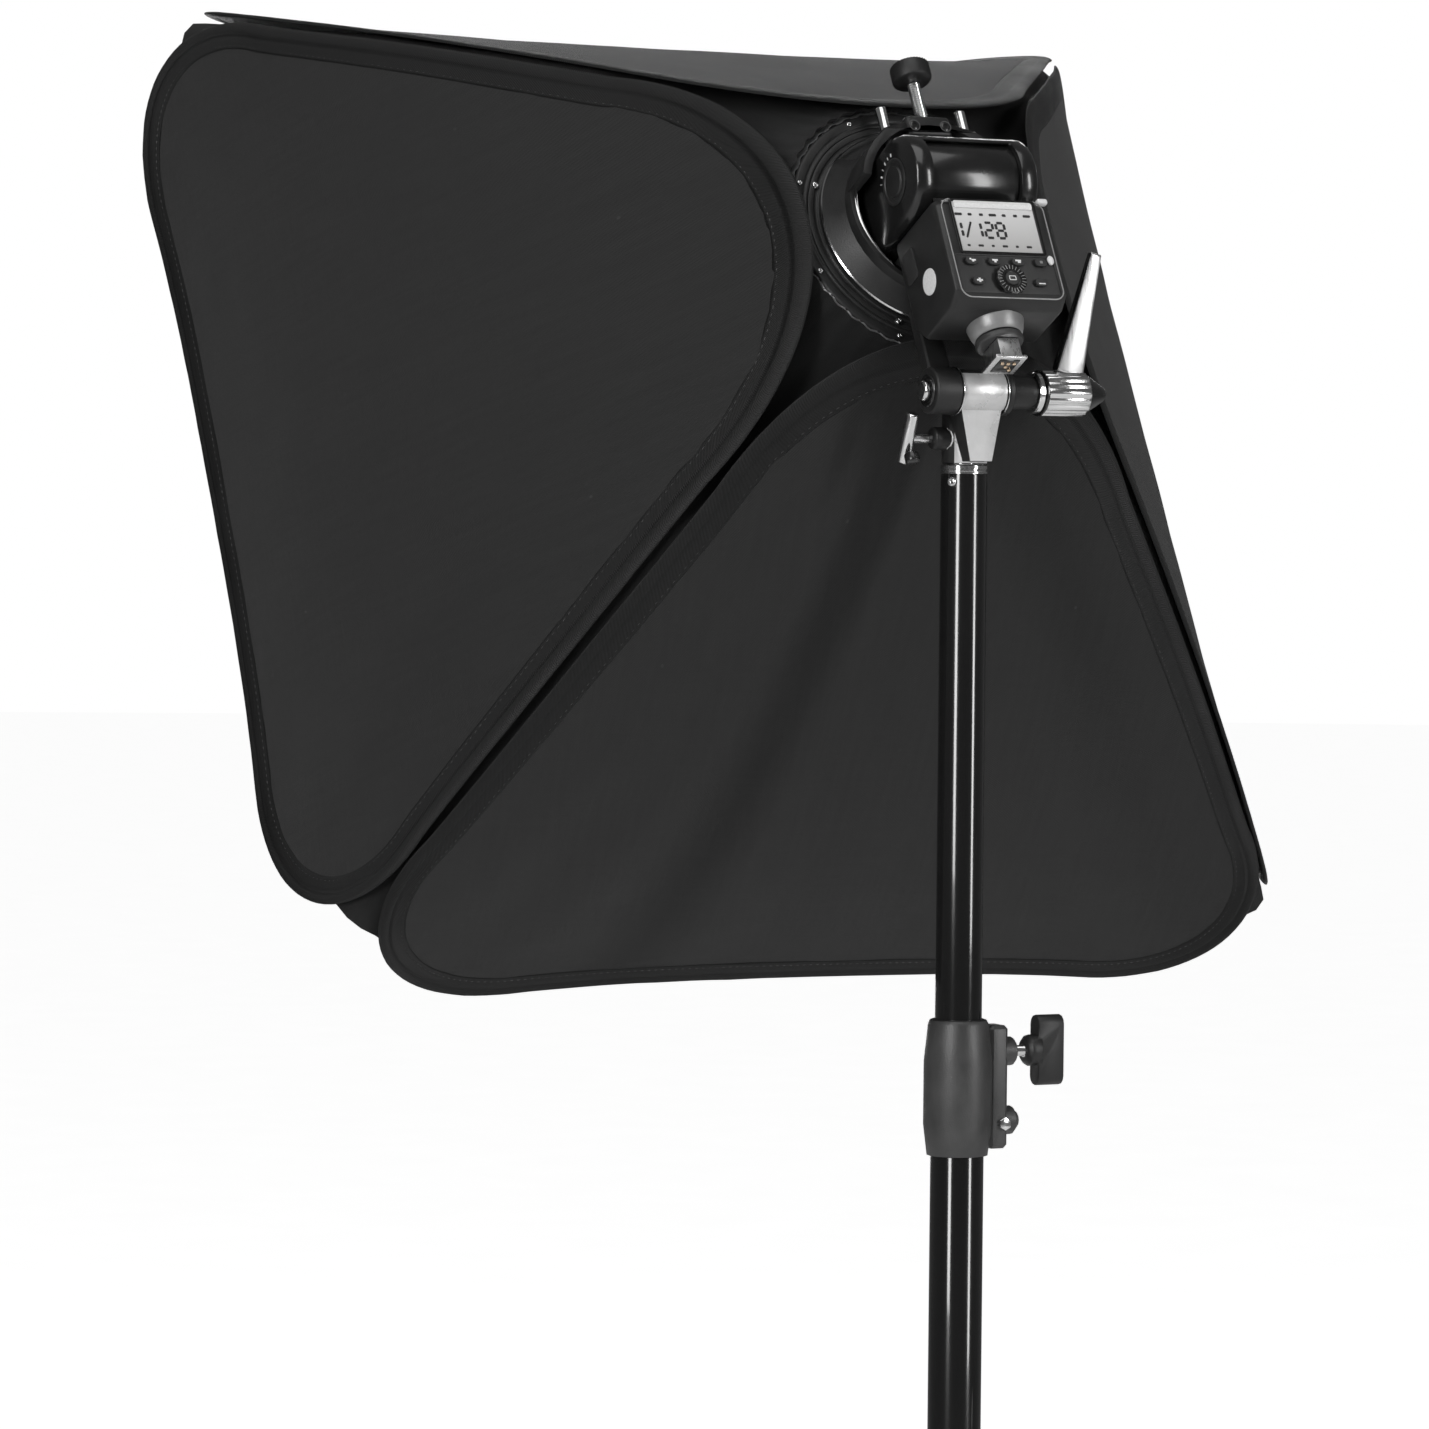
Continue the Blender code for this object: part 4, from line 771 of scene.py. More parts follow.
def applySolidify(piece, thick):
    makeActive(piece)
    wall = piece.modifiers.new("wall", "SOLIDIFY")
    wall.thickness = thick
    wall.offset = 0.0
    bpy.ops.object.modifier_apply(modifier=wall.name)
    clearSelection()


def surfaceArea(piece):
    return sum(face.area for face in piece.data.polygons)


seedOf = {"left": 1.0, "right": 2.0, "top": 3.0, "bottom": 4.0}


def foldHeight(side, across, along, width):
    # soft folds that fan out from the round end, and short puckers beside the hem
    seed = seedOf[side]
    fan = math.atan2(across, loop["length"] + 0.05 - along)
    distance = min(width - abs(across), along, loop["length"] - along)
    clear = min(1.0, max(0.0, distance / taut["foldFrom"]))
    wide = noise.noise(Vector((fan * 7.0 + seed * 9, along * 2.2, seed)))
    small = noise.noise(Vector((across * 28 + seed, along * 28, seed * 3)))
    near = math.exp(-max(distance, 0.0) / taut["puckerReach"]) * min(1.0, distance / 0.004)
    pucker = noise.noise(Vector((across * 90, along * 90, seed * 5))) * near
    strength = taut["bottomFold"] if side == "bottom" else 1.0
    return clear * (taut["fold"] * strength * wide + taut["ripple"] * small) + taut["pucker"] * pucker


def makeTautCloth(side):
    rings = []
    uvs = []
    for i in range(taut["rows"] + 1):
        share = 0.5 - 0.5 * math.cos(math.pi * i / taut["rows"])
        along = taut["inset"] + share * (loop["length"] - 2 * taut["inset"] - 0.0006)
        width = halfWidth(along, taut["inset"])
        row = []
        rowUv = []
        for j in range(taut["columns"] + 1):
            across = width * math.sin(math.pi / 2 * (2 * j / taut["columns"] - 1))
            out = foldHeight(side, across, along, width)
            row.append(panelPoint(side, across, along, out))
            rowUv.append((across, along))
        rings.append(row)
        uvs.append(rowUv)
    piece = meshPiece("panelCloth_" + side, rings, uvs, False, False, side in ("right", "top"))
    area = surfaceArea(piece)
    applySolidify(piece, taut["thick"])
    smoothByAngle(piece, 60)
    settle(piece, "softbox", panelNylon, ["panel_" + side])
    return piece, area


def hemSection():
    # inset from the loop's outer line and height over the sheet, once round the folded hem
    nose = hem["noseRadius"]
    middle = hem["wireInset"]
    top = []
    for k in range(7):
        angle = math.radians(180 - 26 * k)
        top.append((middle + nose * math.cos(angle), nose * math.sin(angle)))
    top += [(0.0072, 0.0024), (0.0100, 0.0018), (hem["stitchInset"] - 0.0004, 0.0014)]
    top += [(hem["stitchInset"] + 0.0006, 0.0015), (hem["width"], hem["edgeThick"])]
    return top + [(inset, -height) for inset, height in top[::-1][:-1]]


def makeHem(side):
    section = hemSection()
    rings = []
    uvs = []
    outlines = [loopOutline(max(inset, hem["outermost"])) for inset, height in section]
    count = len(outlines[0])
    run = 0.0
    for k in range(count):
        row = []
        rowUv = []
        if k:
            previous = Vector(outlines[0][k - 1])
            run += (Vector(outlines[0][k]) - previous).length
        for j, (inset, height) in enumerate(section):
            across, along = outlines[j][k]
            gather = noise.noise(Vector((run * 70, inset * 200, seedOf[side] * 7)))
            swell = noise.noise(Vector((run * 14, 0.0, seedOf[side] * 11)))
            push = 0
            if abs(height) > 0.0002:
                push = math.copysign(hem["gather"] * gather + hem["swell"] * swell, height)
            row.append(panelPoint(side, across, along, height + push))
            rowUv.append((inset + (0.02 if height < 0 else 0.0), run))
        rings.append(row)
        uvs.append(rowUv)
    piece = meshPiece("hem_" + side, rings, uvs, True, True)
    faceOutwards(piece)
    settle(piece, "softbox", hemBinding, ["wire_" + side])


def makeStitches(side):
    # one small thread bead per stitch, on both faces of the hem
    outline = loopOutline(hem["stitchInset"])
    points = [Vector(p) for p in outline]
    closed = points + [points[0]]
    steps = [(b - a).length for a, b in zip(closed, closed[1:])]
    total = sum(steps)
    count = int(total / hem["stitchPitch"])
    bm = bmesh.new()
    for n in range(count):
        goal = total * n / count
        k = 0
        while goal > steps[k]:
            goal -= steps[k]
            k += 1
        start = closed[k].lerp(closed[k + 1], goal / steps[k])
        heading = (closed[k + 1] - closed[k]).normalized()
        half = heading * (hem["stitchLength"] / 2)
        wide = Vector((-heading.y, heading.x)) * hem["stitchHalf"]
        ring = [start - half, start - half * 0.4 + wide, start + half * 0.4 + wide,
                start + half, start + half * 0.4 - wide, start - half * 0.4 - wide]
        ridge = [start - half * 0.45, start + half * 0.45]
        for face in (1, -1):
            foot = face * (hem["stitchLevel"] - hem["stitchSink"])
            top = face * (hem["stitchLevel"] + hem["stitchRise"])
            base = [bm.verts.new(panelPoint(side, p.x, p.y, foot)) for p in ring]
            crest = [bm.verts.new(panelPoint(side, p.x, p.y, top)) for p in ridge]
            for a, b, c in ((0, 1, 0), (5, 0, 0), (2, 3, 1), (3, 4, 1)):
                bm.faces.new((base[a], base[b], crest[c]))
            bm.faces.new((base[1], base[2], crest[1], crest[0]))
            bm.faces.new((base[4], base[5], crest[0], crest[1]))
            bm.faces.new(base[::-1])
    bmesh.ops.recalc_face_normals(bm, faces=bm.faces)
    mesh = bpy.data.meshes.new("stitches_" + side)
    bm.to_mesh(mesh)
    bm.free()
    mesh.shade_smooth()
    piece = bpy.data.objects.new("stitches_" + side, mesh)
    bpy.context.scene.collection.objects.link(piece)
    return settle(piece, "softbox", stitchThread)


shells = {  # how deep under the sheets, how far its front edge stands back, radius and place of its throat
    "web": {
        "deep": 0.0022, "back": 0.0, "throat": [(0.0052, 0.0665), (0.0024, 0.0640), (0.0018, 0.0550)],
    },
    "lining": {
        "deep": 0.0056, "back": 0.020, "throat": [(0.0022, 0.0700), (0.0008, 0.0640), (0.0006, 0.0550)],
    },
}
web = {
    "front": 0.010, "end": 0.386, "throat": 0.28, "draw": 0.25, "scoop": 0.066, "scoopSpan": 0.15,
    "leastCorner": 0.012, "rows": 46, "columns": 200, "pleats": 44, "pleatDepth": 0.0010, "puff": 0.0011,
    "sink": 0.0004, "ringRadius": 0.0745, "round": 2.0, "wall": 0.0005,
}


def inside(along, deep):
    # straight inwards from the middle of a sheet
    reach, forward = slantPoint(0.0, along)
    return reach - deep * math.cos(loop["slant"]), forward + deep * math.sin(loop["slant"])


def cornerWeight(share):
    # 1 on a corner's diagonal, 0 along the sides; share runs 0 to 1 over a quarter of the ring
    return math.cos(math.pi / 2 * min(1.0, abs(share - 0.5) / web["scoopSpan"])) ** 2


def cornerRadius(along, reach):
    near = min(1.0, max(0.0, (along - web["throat"]) / (web["end"] - web["throat"])))
    radius = reach - halfWidth(min(along, web["throat"]), 0.0)
    radius += (reach - radius) * near * near * (3 - 2 * near)
    return min(reach, max(radius, web["leastCorner"])), near


def squareRing(along, deep):
    # a ring round the box inside the sheets; its corners are drawn in and start further back
    points = []
    for k in range(web["columns"]):
        angle = 2 * math.pi * (k + 0.5) / web["columns"]
        quarter = angle % (math.pi / 2)
        share = quarter / (math.pi / 2)
        room = (web["end"] - along) / (web["end"] - web["front"])
        here = along + web["scoop"] * cornerWeight(share) * room
        reach, forward = inside(here, deep)
        radius, near = cornerRadius(here, reach)
        straight = reach - radius
        # walk a quarter of the ring: half a side, the corner, half a side
        arcRun = radius * math.pi / 2
        goal = (2 * straight + arcRun) * share
        if goal < straight:
            x, z = reach, goal
        elif goal > straight + arcRun:
            x, z = 2 * straight + arcRun - goal, reach
        else:
            bend = (goal - straight) / radius
            dip = web["draw"] * (1 - near) * radius * math.sin(2 * bend) ** 2
            x = straight + (radius - dip) * math.cos(bend)
            z = straight + (radius - dip) * math.sin(bend)
        x += flareAt(z, here) * (x / reach) ** 2
        z += flareAt(x, here) * (z / reach) ** 2
        for step in range(int(angle // (math.pi / 2))):
            x, z = -z, x
        points.append(Vector((x, -forward, z)))
    return points


def makeShell(name, shell, finish, replaced):
    first = web["front"] + shell["back"]
    deep = shell["deep"]
    rings = []
    uvs = []
    for step in range(web["rows"] + 1):
        along = first + (web["end"] - first) * step / web["rows"]
        points = squareRing(along, deep)
        near = cornerRadius(along, inside(along, deep)[0])[1]
        ring = []
        ringUv = []
        for k, point in enumerate(points):
            angle = 2 * math.pi * k / len(points)
            pleat = web["pleatDepth"] * near * math.sin(web["pleats"] * angle)
            puff = web["puff"] * noise.noise(Vector((point.x * 22, point.z * 22, along * 16)))
            outwards = pleat * 0.7 + puff * (1 - near) - web["sink"]
            ring.append(headPlace @ (point + Vector((point.x, 0, point.z)).normalized() * outwards))
            ringUv.append((k / len(points) * web["round"], along))
        rings.append(ring)
        uvs.append(ringUv)
    # the throat: the sleeve's last turns, drawn in round the mount ring
    for radius, forward in shell["throat"]:
        ring = []
        ringUv = []
        for k in range(web["columns"]):
            angle = 2 * math.pi * (k + 0.5) / web["columns"]
            reach = web["ringRadius"] + radius + 0.0002 * math.sin(web["pleats"] * angle)
            ring.append(headPlace @ Vector((reach * math.cos(angle), -forward, reach * math.sin(angle))))
            ringUv.append((k / web["columns"] * web["round"], 0.45 - forward))
        rings.append(ring)
        uvs.append(ringUv)
    piece = meshPiece(name, rings, uvs, True, False)
    area = surfaceArea(piece)
    applySolidify(piece, web["wall"])
    smoothByAngle(piece, 60)
    settle(piece, "softbox", finish, replaced)
    return piece, area


diffuser = {
    "along": 0.034, "deep": 0.0070, "puff": 0.009, "rings": 34, "wall": 0.0005, "crease": 0.0016,
    "fan": 0.0022, "cornerFrom": 0.28, "hole": 0.05, "band": 0.022, "bandOut": 0.0006, "bandWall": 0.0006,
}


def makeDiffuser():
    outer = squareRing(diffuser["along"], diffuser["deep"])
    middle = -outer[0].y
    shares = [1.0 - 0.97 * (k / diffuser["rings"]) ** 0.9 for k in range(diffuser["rings"] + 1)]
    rings = []
    uvs = []
    for share in shares:
        ring = []
        ringUv = []
        for k, point in enumerate(outer):
            x, z = point.x * share, point.z * share
            corner = min(abs(x), abs(z)) / diffuser["cornerFrom"]
            slope = math.atan2(abs(z), abs(x))
            crease = noise.noise(Vector((x * 13, z * 13, 5.0))) * diffuser["crease"]
            crease += noise.noise(Vector((slope * 16, share * 2, 2.0))) * diffuser["fan"] * corner**2
            edge = min(1.0, (1 - share) / 0.10)
            forward = middle - (point.y + middle) * share**8  # only the rim follows the drawn-in corners
            forward += diffuser["puff"] * (1 - share**2) + crease * edge
            ring.append(headPlace @ Vector((x, -forward, z)))
            ringUv.append((x, z))
        rings.append(ring)
        uvs.append(ringUv)
    piece = meshPiece("diffuserCloth", rings, uvs, True, False)
    makeActive(piece)
    bpy.ops.object.mode_set(mode="EDIT")
    bpy.ops.mesh.select_all(action="DESELECT")
    bm = bmesh.from_edit_mesh(piece.data)
    for side in bm.edges:
        centre = toHead @ ((side.verts[0].co + side.verts[1].co) / 2)
        side.select = side.is_boundary and math.hypot(centre.x, centre.z) < diffuser["hole"]
    bmesh.update_edit_mesh(piece.data)
    bpy.ops.mesh.fill_grid(span=web["columns"] // 4)
    bpy.ops.object.mode_set(mode="OBJECT")
    faceOutwards(piece)
    area = surfaceArea(piece)
    applySolidify(piece, diffuser["wall"])
    smoothByAngle(piece, 60)
    settle(piece, "softbox", diffuserNylon, ["front_diffuser"])
    return piece, area


def makeDiffuserBand():
    # the black hook-and-loop border that holds the white cloth
    base = squareRing(diffuser["along"], diffuser["deep"] - diffuser["bandOut"])
    rings = []
    uvs = []
    section = [(0.0, 0.0012), (0.0, 0.0034), (0.003, 0.0042), (diffuser["band"] - 0.004, 0.0044),
               (diffuser["band"] - 0.001, 0.0040), (diffuser["band"], 0.0026)]
    for inward, rise in section:
        ring = []
        ringUv = []
        for k, point in enumerate(base):
            reach = max(abs(point.x), abs(point.z))
            scale = (reach - inward) / reach
            wave = 0.0003 * noise.noise(Vector((point.x * 40, point.z * 40, inward * 90)))
            forward = -base[0].y - (point.y - base[0].y) * scale**8 + diffuser["puff"] * (1 - scale**2)
            local = Vector((point.x * scale, -forward - rise - wave, point.z * scale))
            ring.append(headPlace @ local)
            ringUv.append((k * 0.01, inward))
        rings.append(ring)
        uvs.append(ringUv)
    piece = meshPiece("diffuserBand", rings, uvs, True, False)
    faceOutwards(piece)
    applySolidify(piece, diffuser["bandWall"])
    return settle(piece, "softbox", hookTape)


# Flat sizes of the cuts: the panels, the length round the web and the lining, and the front cloth
flatCut = {
    "panel": (2 * loop["halfWidth"] - 0.01, loop["length"] + 0.03), "web": 1.24, "lining": 1.22,
    "seam": 1.02, "front": (0.60, 0.60),
}


def makeSoftbox():
    for side in ("left", "right", "top", "bottom"):
        cloth, area = makeTautCloth(side)
        makeHem(side)
        stitches = makeStitches(side)
    shell, area = makeShell("webCloth", shells["web"], webNylon, [])
    flat = (flatCut["web"], area / flatCut["web"] * flatCut["seam"])
    lining = shells["lining"]
    inner, area = makeShell("liningCloth", lining, silverLining, ["inner_lining"])
    flat = (flatCut["lining"], area / flatCut["lining"] * flatCut["seam"])
    front, area = makeDiffuser()
    band = makeDiffuserBand()
    print("softbox cloth made")


makeSoftbox()


# The stand: three tubes, the cap on the top one, the clamps, the collars and the folding legs
tubes = {
    "top_tube": {"piece": "topTube", "outer": 0.0125, "wall": 0.0012},
    "mid_tube": {"piece": "middleTube", "outer": 0.01425, "wall": 0.0014},
    "base_tube": {"piece": "baseTube", "outer": 0.0160, "wall": 0.0015},
}


def makeTubes():
    for node, size in tubes.items():
        low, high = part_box(node)
        inner = size["outer"] - size["wall"]
        profile = [(inner, low.z), (size["outer"], low.z), (size["outer"], high.z), (inner, high.z)]
        tube = turned(size["piece"], profile, 72, closed=True, edge=0.0004)
        settle(tube, nodes[node]["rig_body"], tubeBlack, [node])


def screwHead(name, radius, height, sides=28):
    # a domed head with a round-bottomed socket in it
    profile = [
        (radius * 0.92, -0.0004), (radius, height * 0.25), (radius * 0.96, height * 0.6),
        (radius * 0.78, height * 0.92), (radius * 0.55, height), (radius * 0.48, height * 0.95),
        (radius * 0.42, height * 0.35), (0.0002, height * 0.3),
    ]
    return turned(name, profile, sides)


def hexHead(name, radius, height):
    low, high = height * 0.2, height * 0.8
    profile = [(radius * 0.94, -0.0003), (radius, low), (radius, high), (radius * 0.90, height)]
    return turned(name, profile, 6, edge=0.0002)


cap = {
    "core": 0.0004, "plug": 0.0108, "skirt": 0.0128, "groove": 0.0123, "shoulder": 0.0118,
    "spigot": 0.0079, "neck": 0.0068, "tip": 0.0065, "spigotLength": 0.022,
    "screwRadius": 0.0027, "screwHeight": 0.0018, "screwOut": 0.0124, "screwDrop": 0.0095, "screwTurn": 32,
}


def makeCap():
    low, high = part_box("top_cap")
    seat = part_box("top_tube")[1].z
    rim = high.z - cap["spigotLength"]
    profile = [
        (cap["core"], low.z), (cap["plug"], low.z), (cap["plug"], seat + 0.0003),
        (cap["skirt"], seat + 0.0003), (cap["skirt"], seat + 0.0012), (cap["groove"], seat + 0.0016),
        (cap["groove"], seat + 0.0022), (cap["skirt"], seat + 0.0026), (cap["skirt"], rim - 0.001),
        (cap["shoulder"], rim), (cap["spigot"], rim), (cap["spigot"], rim + 0.009),
        (cap["neck"], rim + 0.0098), (cap["neck"], rim + 0.0132), (cap["spigot"], rim + 0.014),
        (cap["spigot"], high.z - 0.0015), (cap["tip"], high.z), (cap["core"], high.z),
    ]
    settle(turned("topCap", profile, 64), "top_section", nickel, ["top_cap"])
    screw = screwHead("capScrew", cap["screwRadius"], cap["screwHeight"])
    turn = Matrix.Rotation(math.radians(cap["screwTurn"]), 4, "Z")
    place = turn @ at(cap["screwOut"], 0, rim - cap["screwDrop"]) @ turnToSide
    settle(screw, "top_section", nickel, place=place)


clamps = {
    "mid_clamp": {
        "piece": "midClamp", "body": "middle_section", "tube": tubes["top_tube"]["outer"],
        "knob": "mid_clamp_knob", "knobPiece": "midWingKnob", "knobJoint": "mid_knob_turn",
    },
    "base_clamp": {
        "piece": "baseClamp", "body": "stand_base", "tube": tubes["mid_tube"]["outer"],
        "knob": "base_clamp_knob", "knobPiece": "baseWingKnob", "knobJoint": "base_knob_turn",
    },
}
pinch = {
    "shaftRadius": 0.0036, "shaftLength": 0.012, "boltRadius": 0.0038, "boltHeight": 0.0024,
    "boltOut": 0.009, "lowerBolt": 0.0165, "lugHalf": 0.0078,
}


def offAxis(point, origin, axis):
    offset = point - origin
    return (offset - axis * offset.dot(axis)).length


def makeClamp(node, clamp):
    refine(node, clamp["piece"], castMid, 0.0007)
    origin = Vector(joints[clamp["knobJoint"]]["pos_m"])
    shaft = Vector((-1, 0, 0))

    def onShaft(point, normal):
        near = offAxis(point, origin, shaft) < pinch["shaftRadius"]
        return near and point.x > origin.x - pinch["shaftLength"]

    refine(clamp["knob"], clamp["knobPiece"], grainBlack, 0.0007, nickel, onShaft)
    low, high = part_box(node)
    tube = clamp["tube"]
    profile = [
        (tube + 0.0002, high.z - 0.001), (tube + 0.0026, high.z - 0.001), (tube + 0.0026, high.z + 0.0003),
        (tube + 0.0010, high.z + 0.0008), (tube + 0.0002, high.z + 0.0008),
    ]
    bush = turned("bush_" + node, profile, 64, closed=True, edge=0.0002)
    settle(bush, clamp["body"], grainBlack)
    # hexagon heads of the two pinch bolts; the knob's wings take the place of one of them
    lower = low.z + pinch["lowerBolt"]
    spots = []
    for k, side, height in ((0, -1, origin.z), (1, 1, lower), (1, -1, lower)):
        turn = Matrix.Rotation(math.radians(-90 * side), 4, "X")
        place = at(origin.x + pinch["boltOut"], side * pinch["lugHalf"], height) @ turn
        spots.append(("pinchBolt_%s_%d_%d" % (node, k, side), clamp["body"], place))
    bolt = hexHead("pinchBolt", pinch["boltRadius"], pinch["boltHeight"])
    settleCopies(bolt, nickel, spots)


legRivet = {
    "radius": 0.0032, "height": 0.0014, "sides": 20,
    # how far each rivet's two heads stand from its joint, along the joint's axis
    "leg_%d_fold": {1: 0.0118, -1: 0.0118}, "brace_%d_fold": {1: 0.0152, -1: 0.0097},
}


def makeLegs():
    refine("leg_collar", "legCollar", grainBlack, 0.0006)
    refine("brace_collar", "braceCollar", grainBlack, 0.0006)
    refine("leg_collar_knob", "legWingKnob", grainBlack, 0.0007)
    spots = []
    for n in (1, 2, 3):
        refine("leg_%d" % n, "legTube_%d" % n, tubeBlack, 0.0004)
        refine("brace_%d" % n, "braceStrap_%d" % n, castDark, 0.0004)
        refine("foot_%d" % n, "footTip_%d" % n, footRubber, 0.0009)
        for pattern, body in (("leg_%d_fold", "leg_collar"), ("brace_%d_fold", "leg_%d" % n)):
            joint = joints[pattern % n]
            axis = Vector(joint["axis"]).normalized()
            turn = Vector((0, 0, 1)).rotation_difference(axis).to_matrix().to_4x4()
            for side, letter in ((1, "a"), (-1, "b")):
                flip = Matrix.Rotation(0 if side > 0 else math.pi, 4, "X")
                spot = Vector(joint["pos_m"]) + axis * side * legRivet[pattern][side]
                name = "rivet_%s_%s" % (pattern % n, letter)
                spots.append((name, body, Matrix.Translation(spot) @ turn @ flip))
    head = screwHead("legRivet", legRivet["radius"], legRivet["height"], legRivet["sides"])
    settleCopies(head, nickel, spots)


makeTubes()
makeCap()
for clampNode, clampSizes in clamps.items():
    makeClamp(clampNode, clampSizes)
makeLegs()
print("stand made")


# The bracket: rings that hold the softbox, the clamp round the flash, the tilting arm and its socket
hub = {
    "inner": 0.0445, "bayonet": 0.0655, "ring": 0.0745, "face": -0.0483, "gap": 0.0003, "sides": 144,
    "rivets": 8, "rivetRadius": 0.0016, "rivetHeight": 0.0009, "rivetReach": 0.0714, "rivetTurn": 22.5,
    "screws": 4, "screwRadius": 0.0021, "screwHeight": 0.0013, "screwReach": 0.0627, "screwTurn": -65.5,
}


def knurl(piece, least, depth, count):
    # every second column of points on the rim of a piece turned about z is drawn in
    makeActive(piece)
    bpy.ops.object.mode_set(mode="EDIT")
    bpy.ops.mesh.select_mode(type="VERT")
    bpy.ops.mesh.select_all(action="DESELECT")
    bm = bmesh.from_edit_mesh(piece.data)
    for vertex in bm.verts:
        reach = math.hypot(vertex.co.x, vertex.co.y)
        column = round(math.atan2(vertex.co.y, vertex.co.x) / (2 * math.pi) * count) % 2
        vertex.select = reach > least and column == 1
    bm.select_flush_mode()
    bmesh.update_edit_mesh(piece.data)
    ratio = 1 - depth / least
    bpy.ops.transform.resize(value=(ratio, ratio, 1), center_override=(0, 0, 0))
    bpy.ops.object.mode_set(mode="OBJECT")
    clearSelection()


def roundHub(name, body, count, reach, turn):
    # spots evenly round the hub, on the face of its rings
    spots = []
    for k in range(count):
        angle = math.radians(turn + 360 / count * k)
        spot = at(reach * math.cos(angle), hub["face"], reach * math.sin(angle))
        spots.append(("%s_%d" % (name, k), body, headPlace @ spot @ turnToBack))
    return spots


def makeRings():
    face = hub["face"]
    turn = headPlace @ turnToBack
    profile = [
        (hub["inner"], face), (0.0598, face), (0.0602, face - 0.0006), (0.0618, face - 0.0006),
        (0.0622, face), (hub["bayonet"], face), (hub["bayonet"], face - 0.0060), (0.0615, face - 0.0075),
        (hub["inner"], face - 0.0075),
    ]
    ring = turned("bayonetRing", profile, hub["sides"], closed=True, edge=0.0003)
    settle(ring, "tilt_head", castDark, ["bayonet_ring"], turn)
    inner = hub["bayonet"] + hub["gap"]
    lip = hub["inner"] + 0.003
    step = face - 0.0078
    low = face - 0.0127
    profile = [
        (inner, face), (0.0672, face), (0.0676, face - 0.0005), (0.0688, face - 0.0005), (0.0692, face),
        (hub["ring"] - 0.0012, face), (hub["ring"], face - 0.0012), (hub["ring"], low), (lip, low),
        (lip, step), (inner, step),
    ]
    ring = turned("mountRing", profile, hub["sides"], closed=True, edge=0.0003)
    settle(ring, "softbox", castDark, ["mount_ring"], turn)
    rivet = screwHead("ringRivet", hub["rivetRadius"], hub["rivetHeight"], 20)
    spots = roundHub("ringRivet", "softbox", hub["rivets"], hub["rivetReach"], hub["rivetTurn"])
    settleCopies(rivet, nickel, spots)
    # thin nickel rings on the edges of the hub's mouth and flange: a painted highlight along these edges
    edges = {
        "hubEdge": [
            (0.0446, 0.0178), (0.0454, 0.0178), (0.0462, 0.0184), (0.0456, 0.0187), (0.0448, 0.0187),
        ],
        "flangeEdge": [(0.0584, 0.0031), (0.0592, 0.0024), (0.0594, 0.0030), (0.0588, 0.0037)],
    }
    for name, outline in edges.items():
        profile = [(radius, face + rise) for radius, rise in outline]
        edge = turned(name, profile, hub["sides"], closed=True)
        settle(edge, "tilt_head", nickel, place=turn)
    screw = screwHead("ringScrew", hub["screwRadius"], hub["screwHeight"])
    spots = roundHub("ringScrew", "tilt_head", hub["screws"], hub["screwReach"], hub["screwTurn"])
    settleCopies(screw, nickel, spots)


arch = {
    "shoulderAbove": 0.0475, "shoulderOut": 0.016, "drop": 0.0085,
    "crown": (0.0270, 0.0176, 0.0128), "crownAt": (0, -0.0210, 0.0445), "crownEdge": 0.0026,
    "pinAbove": 0.0304, "pinOut": 0.018, "screwAcross": 0.0094, "screwBack": -0.0122, "screwUp": 0.0440,
    "screwRadius": 0.0027, "screwHeight": 0.0008,
}


def makeArch():
    hoop = refine("clamp_frame", "clampFrame", castDark, 0.0007)
    # the hoop's shoulders are let down, so that only its crown stands up
    makeActive(hoop)
    bpy.ops.object.mode_set(mode="EDIT")
    bm = bmesh.from_edit_mesh(hoop.data)
    for vertex in bm.verts:
        local = toHead @ vertex.co
        vertex.select = local.z > arch["shoulderAbove"] and abs(local.x) > arch["shoulderOut"]
    bm.select_flush_mode()
    bmesh.update_edit_mesh(hoop.data)
    bpy.ops.transform.translate(value=headUp * -arch["drop"])
    bpy.ops.object.mode_set(mode="OBJECT")
    clearSelection()
    crown = slab("archCrown", arch["crown"], arch["crownAt"], arch["crownEdge"], 4)
    settle(crown, "tilt_head", castDark, place=headPlace)
    rimProfile = [(0.0027, -0.0003), (0.0034, -0.0003), (0.0033, 0.0004), (0.0028, 0.0004)]
    for k, side in enumerate((-1, 1)):
        place = headPlace @ at(side * arch["screwAcross"], arch["screwBack"], arch["screwUp"]) @ turnToBack
        screw = screwHead("archScrew_%d" % k, arch["screwRadius"], arch["screwHeight"])
        settle(screw, "tilt_head", smoothBlack, place=place)
        rim = turned("archScrewRim_%d" % k, rimProfile, 40, closed=True)
        settle(rim, "tilt_head", nickel, place=place)


clampKnob = {
    "back": -0.0185, "top": 0.0860, "grip": 0.0103, "flute": 0.0008, "flutes": 72,
    "crest": 0.0035, "root": 0.0031, "threadLow": 0.0306, "pitch": 0.00138, "threads": 32,
}


def onGuidePin(point, normal):
    local = toHead @ point
    return local.z > arch["pinAbove"] and abs(local.x) > arch["pinOut"]


